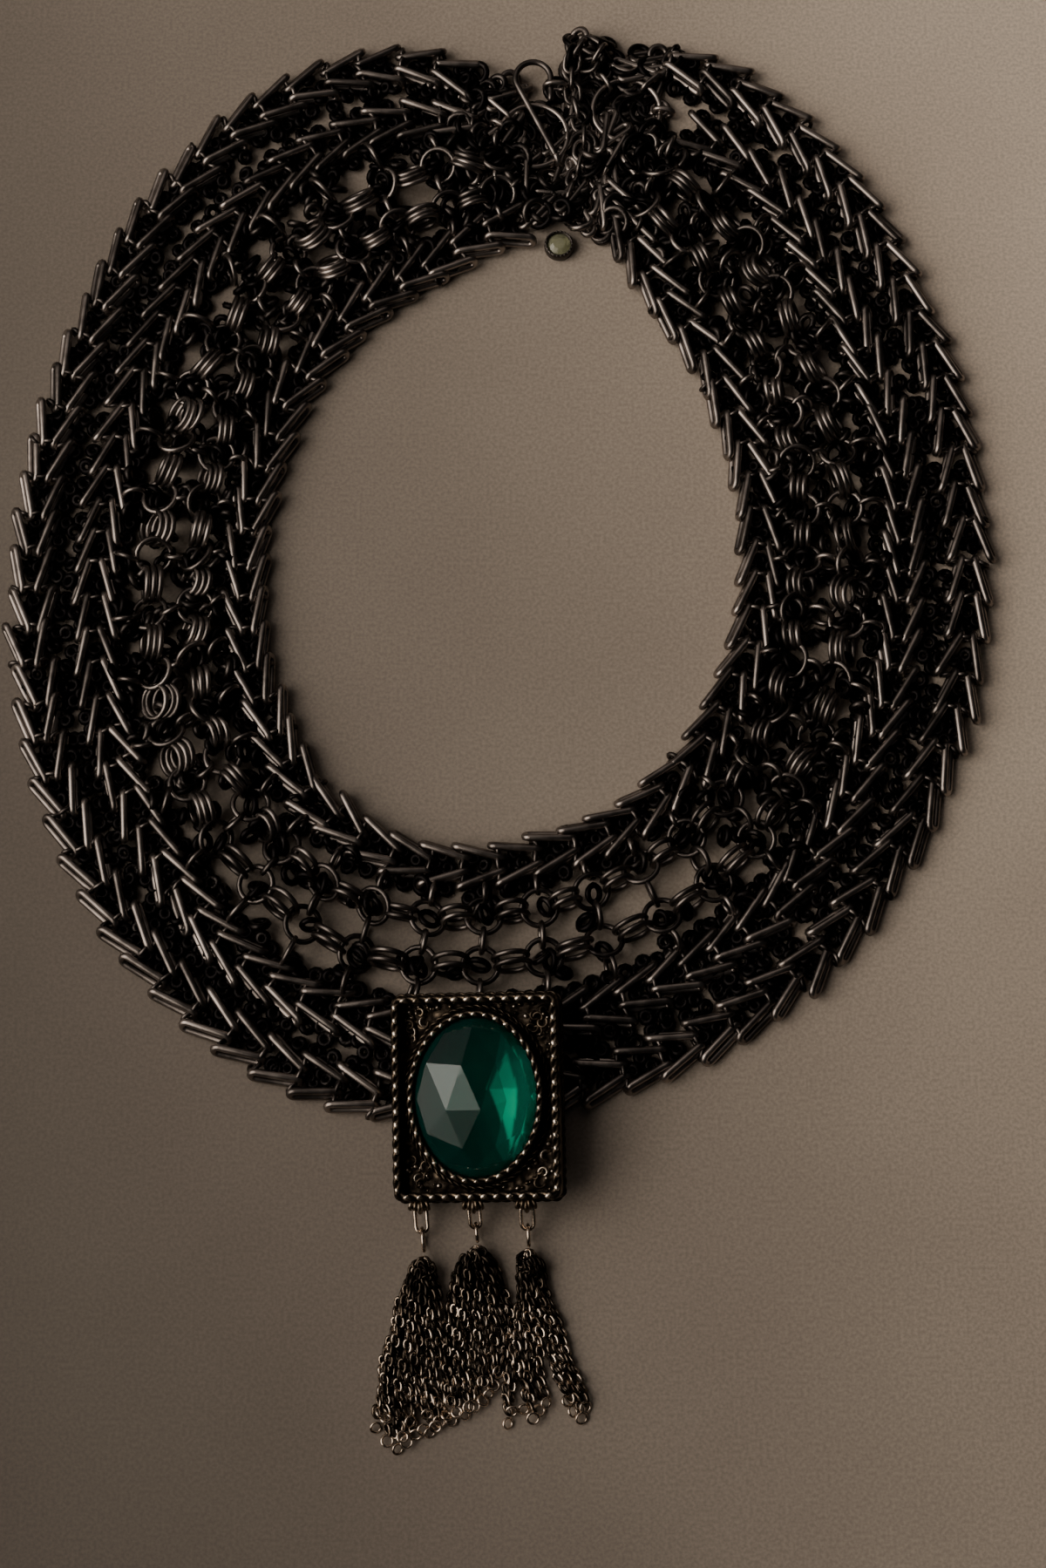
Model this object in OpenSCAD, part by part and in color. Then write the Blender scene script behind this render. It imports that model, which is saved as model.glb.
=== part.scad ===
// Collar necklace of fishbone links and ring mesh, lying closed on a flat surface, with an oval
// stone in a rope-edged square brooch at the front and three chain tassels below it.
// The floor is z = 0, the brooch lies toward -Y and the clasp toward +Y.

/* [Fishbone strands] */
// Thickness of the wire of the long links
link_wire = 1.5; // [1.4:0.05:1.5]
// Outer length of one long link
link_len = 12.2; // [11.4:0.1:12.6]
// Outer width of one long link, which stands on its edge
link_width = 3.9; // [3.7:0.1:4.2]
// Angle between a long link and the strand that it belongs to
link_angle = 17; // [15:0.5:19]
// Lean of a long link, its lower wire outward
link_lean = 25; // [20:1:28]
// Half of the gap between the two long links of a pair at their close ends
pair_gap = 1.5; // [1.5:0.1:1.8]
// Pairs of links in the strand at the neck
neck_pairs = 52; // [50:1:52]
// Pairs of links in the second strand from the outside
second_pairs = 76; // [74:1:76]
// Pairs of links in the outer strand
outer_pairs = 78; // [76:1:78]

/* [Ring mesh] */
// Outer diameter of a ring that lies flat
ring_od = 8.8; // [8.4:0.1:9]
// Thickness of the wire of the rings
ring_wire = 1.2; // [1.1:0.05:1.25]
// Rings in one row
row_rings = 39; // [37:1:39]
// Distance between the two rings of a joining pair
twin_gap = 2.3; // [2.1:0.1:2.5]

/* [Clasp] */
// Outer diameter of the large ring at each end of the collar
end_ring_od = 16.6; // [15:0.2:17]
// Wire of the large rings
end_ring_wire = 1.2; // [1:0.1:1.4]
// Wire of the hook
hook_wire = 1.4; // [1.2:0.1:1.5]
// Radius of the bend of the hook
hook_bend = 4; // [3.6:0.1:4.2]
// Outer length of a link of the extension chain
extension_len = 6; // [5.8:0.1:6.2]
// Outer width of a link of the extension chain
extension_width = 4.5; // [4.3:0.1:4.6]
// Outer diameter of the drop at the end of the extension chain
drop_od = 6.6; // [6:0.2:6.8]

/* [Brooch] */
// Outer width of the square frame
frame_w = 34.6; // [33.6:0.2:34.8]
// Outer height of the square frame
frame_h = 41.8; // [41:0.2:42.2]
// Depth of the frame from its back to its rope edge
frame_depth = 5; // [4.4:0.2:5.4]
// Width of the stone
stone_w = 25.2; // [24.4:0.2:25.4]
// Height of the stone
stone_h = 32.4; // [31.6:0.2:32.8]
// Rise of the cut dome above its setting
stone_rise = 5.4; // [4:0.2:6]
// Diameter of the rope edge of the frame
rope_d = 1.7; // [1.4:0.1:1.8]
// Tilt that lifts the top edge of the brooch, which lies over the strands
brooch_pitch = 8; // [7:0.5:9]
// Tilt that lifts the right edge of the brooch
brooch_roll = 7; // [5:0.5:8]

/* [Hidden] */
SECTORS = 8;
NECK_SECTORS = 12;

gunmetal = "#3a3638";
old_gold = "#7d6a4e";
green_glass = "#0f6b52";
pale_glass = "#b9b79c";

// Middle of the neck opening
collar_middle = [0.5, 34.5];
// Radii of the strands about the middle, a row for each direction. 360 is the front, 450 the
// right side, 270 the left side, and the two ends meet at the clasp near 180 and 525.
// Columns: direction, neck strand, inner ring row, outer ring row, second strand, outer strand.
bands = [
    [172, 76.5, 83.0, 92.0, 97.0, 97.0],
    [183, 73.5, 81.5, 90.8, 99.5, 110.5],
    [189, 70.5, 80.0, 89.8, 102.0, 116.0],
    [195, 67.5, 79.0, 89.0, 104.0, 118.5],
    [210, 63.0, 76.0, 85.5, 101.0, 117.0],
    [240, 57.5, 68.2, 77.8, 91.0, 105.5],
    [270, 56.5, 66.5, 76.0, 88.5, 102.5],
    [300, 62.0, 73.8, 83.8, 96.0, 110.0],
    [330, 72.0, 84.5, 94.5, 108.0, 121.5],
    [345, 74.0, 86.0, 96.5, 109.5, 124.0],
    [360, 72.0, 83.0, 93.5, 107.0, 121.5],
    [375, 69.5, 80.0, 91.0, 103.5, 118.0],
    [390, 66.5, 77.0, 88.5, 100.5, 114.5],
    [420, 58.5, 68.5, 79.0, 91.0, 105.5],
    [450, 55.5, 65.2, 74.8, 87.0, 101.0],
    [480, 58.5, 69.0, 79.0, 91.5, 106.0],
    [495, 63.0, 74.0, 85.0, 97.5, 113.0],
    [510, 69.0, 81.0, 91.5, 105.0, 120.5],
    [518, 77.0, 85.5, 94.5, 107.5, 122.5],
    [527, 90.5, 90.5, 97.0, 109.0, 122.5]
];
NECK = 1;
INNER_ROW = 2;
OUTER_ROW = 3;
SECOND = 4;
OUTER = 5;
// Directions at which each strand starts and ends. Columns as in bands, the first unused.
band_start = [0, 177, 177.5, 177, 184.5, 184];
band_end = [0, 525, 520, 522, 517.5, 522];
// Step along a strand when its length is measured
walk_step = 3;

// Height of the middle of a long link, so that its lower edge touches the floor
link_z = link_width / 2 * cos(link_lean) + link_wire / 2 * sin(link_lean) + 0.01;
// Length of a long link between the middles of its end bends
link_core = link_len - link_wire;
// Height of the flat rings, clear above the long links
ring_z = 4.7;
// How deep a joining ring sinks into the flat rings that it grips
grip = 0.45;
// Half the width of a strand, with the lean of its links
strand_half = pair_gap + link_core * sin(link_angle) + link_wire / 2
    + link_width / 2 * sin(link_lean);
// Gap that loose pieces keep from each other
piece_gap = 0.3;

// Slope of a column of bands at row i, in radius for each degree
function slope(col, i) =
    let (last = len(bands) - 1, lo = max(0, i - 1), hi = min(last, i + 1))
    (bands[hi][col] - bands[lo][col]) / (bands[hi][0] - bands[lo][0]);

// Radius of a strand in one direction, on a smooth curve through the rows
function radius_at(col, a) =
    let (i = max([for (k = [0:len(bands) - 2]) if (k == 0 || bands[k][0] <= a) k]),
         span = bands[i + 1][0] - bands[i][0],
         t = (a - bands[i][0]) / span)
    bands[i][col] * (2 * pow(t, 3) - 3 * pow(t, 2) + 1)
    + bands[i + 1][col] * (3 * pow(t, 2) - 2 * pow(t, 3))
    + slope(col, i) * span * (pow(t, 3) - 2 * pow(t, 2) + t)
    + slope(col, i + 1) * span * (pow(t, 3) - pow(t, 2));

// Point of a strand in one direction
function strand_point(col, a) = collar_middle + radius_at(col, a) * [sin(a), -cos(a)];

// Table of distance along a strand against direction
function walk(col) = [
    for (a = band_start[col], s = 0; a <= band_end[col] + walk_step;
         s = s + norm(strand_point(col, a + walk_step) - strand_point(col, a)), a = a + walk_step)
        [s, a]
];
function flipped(rows) = [for (row = rows) [row[1], row[0]]];
neck_walk = walk(NECK);
inner_walk = walk(INNER_ROW);
outer_row_walk = walk(OUTER_ROW);
second_walk = walk(SECOND);
outer_walk = walk(OUTER);
walks = [[], neck_walk, inner_walk, outer_row_walk, second_walk, outer_walk];

// Length of a strand between its start and its end
function strand_length(col) = lookup(band_end[col], flipped(walks[col]));
// Direction of place i of a strand with n even places
function direction_at(col, i, n) = lookup(strand_length(col) * (i + 0.5) / n, walks[col]);
// Heading of a strand at a direction, in degrees from +X
function heading_at(col, a) =
    let (d = strand_point(col, a + 0.5) - strand_point(col, a - 0.5)) atan2(d[1], d[0]);
// First place of sector k when n places are shared among sectors
function first_place(k, n, sectors) = floor((k - 1) * n / sectors);

// A ring of stadium outline that stands on its edge along X
module standing_link(length, width, wire) {
    rotate([90, 0, 0])
        linear_extrude(height = wire, center = true)
            difference() {
                stadium(length, width);
                stadium(length - 2 * wire, width - 2 * wire);
            }
}

// One long link of a strand, with a plain slot
module long_link() {
    rotate([90, 0, 0])
        linear_extrude(height = link_wire, center = true)
            difference() {
                stadium(link_len, link_width);
                square([link_len - 2 * link_wire, link_width - 2 * link_wire], center = true);
            }
}

module stadium(length, width) {
    square([length - width, width], center = true);
    for (side = [-1, 1])
        translate([side * (length - width) / 2, 0]) circle(d = width, $fn = 32);
}

// Width of the joining wire
bar_wire = 1.2;
// Half length of the joining wire that also reaches the links of the next pair
long_bar = pair_gap + 0.86 * link_core * sin(link_angle);
// Half length of the joining wire that holds one pair only
short_bar = pair_gap + 0.2 * link_core * sin(link_angle);

// A pair of long links whose close ends point along +X, with the wire that joins them
module link_pair(bar_x, bar_half) {
    for (side = [-1, 1])
        translate([0, side * (pair_gap + link_core / 2 * sin(link_angle)), link_z])
            rotate([0, 0, -side * link_angle])
                rotate([side * link_lean, 0, 0])
                    long_link();
    translate([bar_x, 0, link_z])
        cube([bar_wire, 2 * bar_half, link_width - 2 * link_wire + 0.4], center = true);
}

// One sector of a fishbone strand. A sense of -1 turns its pairs the other way.
module strand_sector(col, n, sectors, k, sense) {
    first = first_place(k, n, sectors);
    last = first_place(k + 1, n, sectors) - 1;
    pitch = strand_length(col) / n;
    color(gunmetal)
        for (i = [first:last]) {
            a = direction_at(col, i, n);
            open_end = sense > 0 ? last : first;
            p = strand_point(col, a);
            translate([p[0], p[1], 0])
                rotate([0, 0, heading_at(col, a) + (sense > 0 ? 0 : 180)])
                    link_pair(pitch / 2, i == open_end ? short_bar : long_bar);
        }
}

module outer_strand(k) { strand_sector(OUTER, outer_pairs, SECTORS, k, 1); }
module second_strand(k) { strand_sector(SECOND, second_pairs, SECTORS, k, -1); }
module neck_strand(k) { strand_sector(NECK, neck_pairs, NECK_SECTORS, k, 1); }

// Direction of column j of the mesh, and the place of its ring in one row
function column_at(j) = direction_at(OUTER_ROW, j, row_rings);
function ring_point(col, j) = strand_point(col, column_at(j));

module flat_ring(p) {
    translate([p[0], p[1], ring_z])
        difference() {
            cylinder(d = ring_od, h = ring_wire, center = true, $fn = 32);
            cylinder(d = ring_od - 2 * ring_wire, h = 2 * ring_wire, center = true, $fn = 32);
        }
}

// A standing ring round the wires of the flat rings at p and q, set aside by a shift
module joining_ring(p, q, shift, bite) {
    d = q - p;
    od = norm(d) - ring_od + 4 * ring_wire - 2 * bite;
    translate([(p[0] + q[0]) / 2, (p[1] + q[1]) / 2, ring_z])
        rotate([0, 0, atan2(d[1], d[0])])
            translate([0, shift, 0])
                rotate([90, 0, 0])
                    difference() {
                        cylinder(d = od, h = ring_wire, center = true, $fn = 12);
                        cylinder(d = od - 2 * ring_wire, h = 2 * ring_wire, center = true, $fn = 12);
                    }
}

// A standing ring that reaches from a flat ring at p toward a strand, loose in both
module reaching_ring(p, strand_p) {
    d = strand_p - p;
    start = ring_od / 2 - 2 * ring_wire - piece_gap;
    reach = norm(d) - strand_half - piece_gap - start;
    along = start + reach / 2;
    if (reach > 3.5 * ring_wire)
        translate([p[0], p[1], ring_z])
            rotate([0, 0, atan2(d[1], d[0])])
                translate([along, 0, 0])
                    rotate([90, 0, 0])
                        difference() {
                            cylinder(d = reach, h = ring_wire, center = true, $fn = 12);
                            cylinder(d = reach - 2 * ring_wire, h = 2 * ring_wire, center = true, $fn = 12);
                        }
}

// One sector of the two rows of flat rings with the rings that join them
module ring_mesh(k) {
    first = first_place(k, row_rings, SECTORS);
    last = first_place(k + 1, row_rings, SECTORS) - 1;
    color(gunmetal)
        for (j = [first:last]) {
            inner_p = ring_point(INNER_ROW, j);
            outer_p = ring_point(OUTER_ROW, j);
            flat_ring(inner_p);
            flat_ring(outer_p);
            joining_ring(inner_p, outer_p, 0, grip);
            reaching_ring(outer_p, strand_point(SECOND, column_at(j)));
            reaching_ring(inner_p, strand_point(NECK, column_at(j)));
            if (j < last)
                for (side = [-1, 1]) {
                    joining_ring(inner_p, ring_point(INNER_ROW, j + 1), side * twin_gap / 2, grip);
                    joining_ring(outer_p, ring_point(OUTER_ROW, j + 1), side * twin_gap / 2, grip);
                }
        }
}

// Clasp
clasp_z = 2.6;
left_ring_at = [6.9, 131.8, clasp_z];
right_ring_at = [28.1, 138.2, clasp_z];
end_ring_r = (end_ring_od - end_ring_wire) / 2;

module torus(middle_r, wire) {
    rotate_extrude($fn = 64) translate([middle_r, 0]) circle(d = wire, $fn = 32);
}

module end_ring(at) {
    color(gunmetal) translate(at) torus(end_ring_r, end_ring_wire);
}

// Where an end link meets a strand, and the direction in which it meets the large ring.
// Columns: x, y, direction on the large ring. A row for each link.
left_ends = [[-4.2, 141.2, 142], [-3.2, 135.6, 163], [5.2, 116.0, 258]];
right_ends = [[22.6, 121.6, 265], [39.4, 137.4, 358], [36.4, 147.4, 52]];
end_link_wire = 1.2;
end_link_width = 4.2;

// Long links on edge that join the strands to a large ring
module end_links(ring_at, ends) {
    slack = 0.25;
    color(gunmetal)
        for (row = ends) {
            p = [row[0], row[1]];
            q = [ring_at[0], ring_at[1]] + end_ring_r * [cos(row[2]), sin(row[2])];
            d = q - p;
            length = norm(d) + end_ring_wire / 2 + end_link_wire + slack;
            middle = p + d / norm(d) * length / 2;
            translate([middle[0], middle[1], clasp_z])
                rotate([0, 0, atan2(d[1], d[0])])
                    standing_link(length, end_link_width, end_link_wire);
        }
}

// Middle of the bend of the hook, and the turn of its shank
hook_at = [6.8, 145.5, 4.15];
shank_turn = 26.4;
shank_len = 19.7;
hook_tip = 5;
hook_eye = 1.7;

// A bend with a short tip on its right, and on its left a long shank that ends in an eye
module hook() {
    color(gunmetal) translate(hook_at) {
        rotate_extrude(angle = 180 + shank_turn, $fn = 64)
            translate([hook_bend, 0]) circle(d = hook_wire, $fn = 32);
        translate([hook_bend, 0, 0])
            rotate([90, 0, 0]) cylinder(d = hook_wire, h = hook_tip, $fn = 32);
        rotate([0, 0, 180 + shank_turn]) translate([hook_bend, 0, 0]) {
            rotate([-90, 0, 0]) cylinder(d = hook_wire, h = shank_len, $fn = 32);
            translate([0, shank_len, -hook_eye]) rotate([0, -90, 0])
                rotate_extrude(angle = 265, $fn = 64)
                    translate([hook_eye, 0]) circle(d = hook_wire, $fn = 32);
            translate([0, shank_len, 0]) sphere(d = hook_wire + 0.1, $fn = 32);
        }
    }
}

// Route of the extension chain: from the right end ring round a bunch and down to the drop
extension_route = [
    [24.9, 142.7, 2.6], [22.4, 146.4, 2.6], [23.6, 150.4, 2.6], [20.8, 153.6, 2.6], [17.2, 151.6, 2.8],
    [19.4, 148.6, 4.4], [22.4, 151.0, 6.0], [18.6, 153.6, 6.0], [15.8, 150.0, 4.4], [15.6, 145.0, 3.4],
    [16.2, 139.5, 2.5], [18.4, 132.0, 2.5], [17.2, 124.0, 2.5], [14.6, 116.0, 2.5], [12.9, 109.6, 2.5]
];
extension_wire = 1.1;
extension_bite = 0.2;
extension_step = extension_len - 2 * extension_wire - extension_bite;
catch_at = [11.9, 143.6, 3.9];

function unit(v) = v / norm(v);
// Table of distance along a route against its x, y and z
function route_walk(route) = [
    for (i = 0, s = 0; i < len(route);
         s = s + (i < len(route) - 1 ? norm(route[i + 1] - route[i]) : 0), i = i + 1)
        [s, route[i]]
];
function route_point(table, s) = [
    for (axis = [0:2]) lookup(s, [for (row = table) [row[0], row[1][axis]]])
];

// Links turned on edge and laid flat by turns, and one across them that the hook catches
module extension_chain() {
    table = route_walk(extension_route);
    length = table[len(table) - 1][0];
    count = floor((length - extension_len) / extension_step) + 1;
    color(gunmetal) {
        for (i = [0:count - 1]) {
            s = extension_len / 2 + i * extension_step;
            p = route_point(table, s);
            d = route_point(table, s + 1) - route_point(table, s - 1);
            translate(p)
                rotate([0, -atan2(d[2], norm([d[0], d[1]])), atan2(d[1], d[0])])
                    rotate([i % 2 == 0 ? 0 : 90, 0, 0])
                        standing_link(extension_len, extension_width, extension_wire);
        }
        translate(catch_at) standing_link(extension_len, extension_width, extension_wire);
    }
}

// Side faces of a closed loft through rings of n points, then its two flat ends
function loft_faces(rings, n) = concat(
    [for (i = [0:rings - 2], k = [0:n - 1])
        [i * n + k, (i + 1) * n + k, (i + 1) * n + (k + 1) % n, i * n + (k + 1) % n]],
    [[for (k = [0:n - 1]) k]],
    [[for (k = [0:n - 1]) rings * n - 1 - k]]
);

drop_at = [12.6, 105.3];
drop_depth = 2.6;

module drop_setting() {
    color(gunmetal) translate([drop_at[0], drop_at[1], 0.01])
        difference() {
            cylinder(d = drop_od, h = drop_depth, $fn = 48);
            translate([0, 0, 0.8]) cylinder(d = drop_od - 1.2, h = drop_depth, $fn = 48);
        }
}

module drop_stone() {
    d = drop_od - 1.4;
    color(pale_glass) translate([drop_at[0], drop_at[1], 0.9]) {
        cylinder(d = d, h = 1.2, $fn = 48);
        translate([0, 0, 1.2]) cylinder(d1 = d, d2 = d * 0.55, h = 1.2, $fn = 48);
    }
}

// Brooch
brooch_at = [-4.9, -87.9, 9.7];
brooch_yaw = 0.2;
wall = 1.3;
plate = 1.2;
bezel_wall = 1.2;
seat_gap = 0.15;
oval_steps = 48;
bezel_top = frame_depth / 2 + 0.6;
loop_r = 1.35;
loop_wire = 0.9;
loop_places = [-12.4, -1.3, 9.6];
// Grains in the corners of the sunk floor
grain_d = 3.6;
grain_x = frame_w / 2 - wall - grain_d / 2 - 0.2;
grain_y = frame_h / 2 - wall - grain_d / 2 - 0.2;

module at_brooch() {
    translate(brooch_at) rotate([brooch_pitch, -brooch_roll, brooch_yaw]) children();
}

function turn_x(p, a) = [p[0], p[1] * cos(a) - p[2] * sin(a), p[1] * sin(a) + p[2] * cos(a)];
function turn_y(p, a) = [p[0] * cos(a) + p[2] * sin(a), p[1], -p[0] * sin(a) + p[2] * cos(a)];
function turn_z(p, a) = [p[0] * cos(a) - p[1] * sin(a), p[0] * sin(a) + p[1] * cos(a), p[2]];
function brooch_point(p) =
    brooch_at + turn_z(turn_y(turn_x(p, brooch_pitch), -brooch_roll), brooch_yaw);
function loop_middle(x) = [x, -frame_h / 2 - loop_r + 0.3, -frame_depth / 2 + loop_wire];

module oval(w, h) {
    polygon([for (k = [0:oval_steps - 1])
        [w / 2 * cos(360 * k / oval_steps), h / 2 * sin(360 * k / oval_steps)]]);
}

// Open box with a back plate, a round edge, an oval setting and three loops below
module brooch_frame() {
    color(old_gold) at_brooch() {
        translate([0, 0, -frame_depth / 2])
            linear_extrude(height = plate) square([frame_w, frame_h], center = true);
        translate([0, 0, -frame_depth / 2])
            linear_extrude(height = frame_depth)
                difference() {
                    square([frame_w, frame_h], center = true);
                    square([frame_w - 2 * wall, frame_h - 2 * wall], center = true);
                }
        edge_x = frame_w / 2 - rope_d / 2;
        edge_y = frame_h / 2 - rope_d / 2;
        for (side = [-1, 1]) {
            translate([side * edge_x, -edge_y, frame_depth / 2])
                rotate([-90, 0, 0]) cylinder(d = rope_d, h = 2 * edge_y, $fn = 32);
            translate([-edge_x, side * edge_y, frame_depth / 2])
                rotate([0, 90, 0]) cylinder(d = rope_d, h = 2 * edge_x, $fn = 32);
            for (end = [-1, 1])
                translate([side * edge_x, end * edge_y, frame_depth / 2]) sphere(d = rope_d, $fn = 32);
        }
        translate([0, 0, -frame_depth / 2])
            linear_extrude(height = bezel_top + frame_depth / 2)
                difference() {
                    oval(stone_w + 2 * seat_gap + 2 * bezel_wall, stone_h + 2 * seat_gap + 2 * bezel_wall);
                    oval(stone_w + 2 * seat_gap, stone_h + 2 * seat_gap);
                }
        for (side = [-1, 1], end = [-1, 1])
            translate([side * grain_x, end * grain_y, grain_d / 4 - frame_depth / 2 + plate])
                sphere(d = grain_d, $fn = 32);
        for (x = loop_places)
            translate(loop_middle(x)) rotate([0, 90, 0]) torus(loop_r, loop_wire);
    }
}

star_share = 0.58;
star_lift = 0.82;
girdle_z = frame_depth / 2 + 0.4;
stone_base_z = -frame_depth / 2 + plate + 0.1;
girdle_sides = 24;

// Oval stone with a star of six facets at the top and three facets below each side of the star
module brooch_stone() {
    turn = 360 / girdle_sides;
    girdle = [for (k = [0:girdle_sides - 1])
        [stone_w / 2 * cos(turn * k), stone_h / 2 * sin(turn * k)]];
    star = [for (k = [0:5]) star_share * [stone_w / 2 * cos(60 * k), stone_h / 2 * sin(60 * k)]];
    points = concat(
        [for (g = girdle) [g[0], g[1], stone_base_z]],
        [for (g = girdle) [g[0], g[1], girdle_z]],
        [for (s = star) [s[0], s[1], girdle_z + stone_rise * star_lift]],
        [[0, 0, girdle_z + stone_rise]]
    );
    n = girdle_sides;
    tip = 2 * n;
    share = n / 6;
    sides = [for (k = [0:n - 1]) [k, n + k, n + (k + 1) % n, (k + 1) % n]];
    lower = [for (k = [0:5]) each concat(
        [for (j = [0:share / 2 - 1]) [n + share * k + j, tip + k, n + share * k + j + 1]],
        [[n + share * k + share / 2, tip + k, tip + (k + 1) % 6]],
        [for (j = [share / 2:share - 1])
            [n + share * k + j, tip + (k + 1) % 6, n + (share * k + j + 1) % n]]
    )];
    top = [for (k = [0:5]) [tip + k, tip + 6, tip + (k + 1) % 6]];
    color(green_glass) at_brooch()
        polyhedron(points, concat([[for (k = [0:n - 1]) k]], sides, lower, top));
}

// Two plain rings on edge that hold the back of the brooch to the strand below it
hanger_places = [[-15, -73], [3, -73]];
hanger_wire = 1;
module brooch_rings() {
    // Height of the strand's upper side
    low = link_width * cos(link_lean) + link_wire * sin(link_lean) + piece_gap;
    color(gunmetal)
        for (place = hanger_places) {
            back = brooch_at[2] - frame_depth / 2 + (place[1] - brooch_at[1]) * tan(brooch_pitch)
                + (place[0] - brooch_at[0]) * tan(brooch_roll);
            od = back - low - 2 * piece_gap;
            translate([place[0], place[1], low + od / 2]) rotate([0, 90, 0])
                difference() {
                    cylinder(d = od, h = hanger_wire, center = true, $fn = 32);
                    cylinder(d = od - 2 * hanger_wire, h = 2 * hanger_wire, center = true, $fn = 32);
                }
        }
}

// Tassels
// Columns: distance along -Y, middle across, half width, thickness. A row for each section.
tassel_rows = [
    [[119.1, -15.7, 1.2, 3.0], [121.5, -15.9, 2.6, 5.0], [125.0, -16.0, 3.9, 6.0], [131.0, -16.4, 4.9, 6.0],
     [137.0, -16.8, 5.1, 5.4], [143.0, -18.4, 6.6, 4.8], [150.0, -19.2, 6.9, 4.0], [155.0, -18.9, 6.2, 3.2],
     [157.2, -18.6, 5.0, 2.6]],
    [[117.0, -4.8, 1.2, 3.0], [119.6, -4.6, 3.0, 5.0], [124.5, -4.4, 5.0, 6.0], [129.8, -4.6, 6.4, 6.0],
     [135.7, -4.6, 6.8, 5.6], [141.0, -5.6, 5.9, 4.8], [147.0, -7.0, 4.8, 3.8], [151.5, -7.8, 4.0, 3.0]],
    [[117.8, 5.7, 1.2, 3.0], [119.8, 6.0, 2.9, 5.0], [125.0, 6.5, 3.9, 6.0], [131.0, 6.9, 4.3, 6.0],
     [137.0, 7.4, 4.8, 5.2], [142.0, 9.2, 7.0, 4.4], [148.0, 9.2, 7.9, 3.6], [153.4, 9.0, 7.6, 2.8]]
];
tassel_sides = 16;

module tassel(k) {
    rows = tassel_rows[k - 1];
    color(old_gold)
        polyhedron([for (row = rows, s = [0:tassel_sides - 1])
            [row[1] + row[2] * cos(360 * s / tassel_sides), -row[0],
             row[3] / 2 * (1 + sin(360 * s / tassel_sides)) + 0.02]],
            loft_faces(len(rows), tassel_sides));
}

// Length and width of the link, and diameter of the ring, that carry each tassel
carrier_sizes = [[6.2, 3.2, 5.4], [5.6, 3.0, 4.4], [6.2, 3.4, 5.0]];
carrier_wire = 0.8;

// An oval ring of round wire lying in the plane of its length (X) and its width (Y)
module oval_ring(length, width, wire) {
    straight = length - width;
    for (side = [-1, 1]) {
        translate([side * straight / 2, 0, 0]) rotate([0, 0, side > 0 ? -90 : 90])
            rotate_extrude(angle = 180, $fn = 64)
                translate([(width - wire) / 2, 0]) circle(d = wire, $fn = 32);
        translate([-straight / 2, side * (width - wire) / 2, 0])
            rotate([0, 90, 0]) cylinder(d = wire, h = straight, $fn = 32);
    }
}

// Puts children midway between p and q with X along the way from p to q
module between(p, q) {
    d = q - p;
    translate((p + q) / 2)
        rotate([0, -atan2(d[2], norm([d[0], d[1]])), atan2(d[1], d[0])]) children();
}

// Middle of the wire at the far end of link k, near the tassel's top
function link_start(k) = brooch_point(loop_middle(loop_places[k - 1]));
function tassel_top(k) =
    let (row = tassel_rows[k - 1][0])
    [row[1], -row[0] + carrier_wire / 2 + piece_gap, carrier_sizes[k - 1][2] / 2];
function link_end(k) =
    let (size = carrier_sizes[k - 1], p = link_start(k), q = tassel_top(k))
    p + unit(q - p) * (size[0] - carrier_wire);

module tassel_link(k) {
    size = carrier_sizes[k - 1];
    p = link_start(k);
    color(old_gold) between(p, link_end(k)) oval_ring(size[0], size[1], carrier_wire);
}

module tassel_ring(k) {
    size = carrier_sizes[k - 1];
    p = link_end(k);
    q = tassel_top(k);
    back = unit(q - p);
    middle = p + back * (size[2] / 2 - carrier_wire * 1.6);
    color(old_gold) translate(middle)
        rotate([0, 0, atan2(back[1], back[0])]) rotate([90, 0, 0])
            torus((size[2] - carrier_wire) / 2, carrier_wire);
}

for (k = [1:SECTORS]) {
    outer_strand(k);
    second_strand(k);
    ring_mesh(k);
}
for (k = [1:NECK_SECTORS])
    neck_strand(k);
end_ring(left_ring_at);  // end_ring_left
end_ring(right_ring_at);  // end_ring_right
end_links(left_ring_at, left_ends);  // end_links_left
end_links(right_ring_at, right_ends);  // end_links_right
hook();
extension_chain();
drop_setting();
drop_stone();
brooch_frame();
brooch_stone();
brooch_rings();
for (k = [1:3]) {
    tassel_link(k);
    tassel_ring(k);
    tassel(k);
}
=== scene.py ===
"""Looks of the collar necklace: fishbone strands, ring mesh, clasp, brooch and chain tassels.

Everything is worked out in millimetres in the frame of the CAD model and turned into metres
when a mesh is made. Each piece stands for the CAD node that it is named after.
"""
from __future__ import annotations

import logging
from dataclasses import dataclass
from enum import Enum, IntEnum

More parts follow.
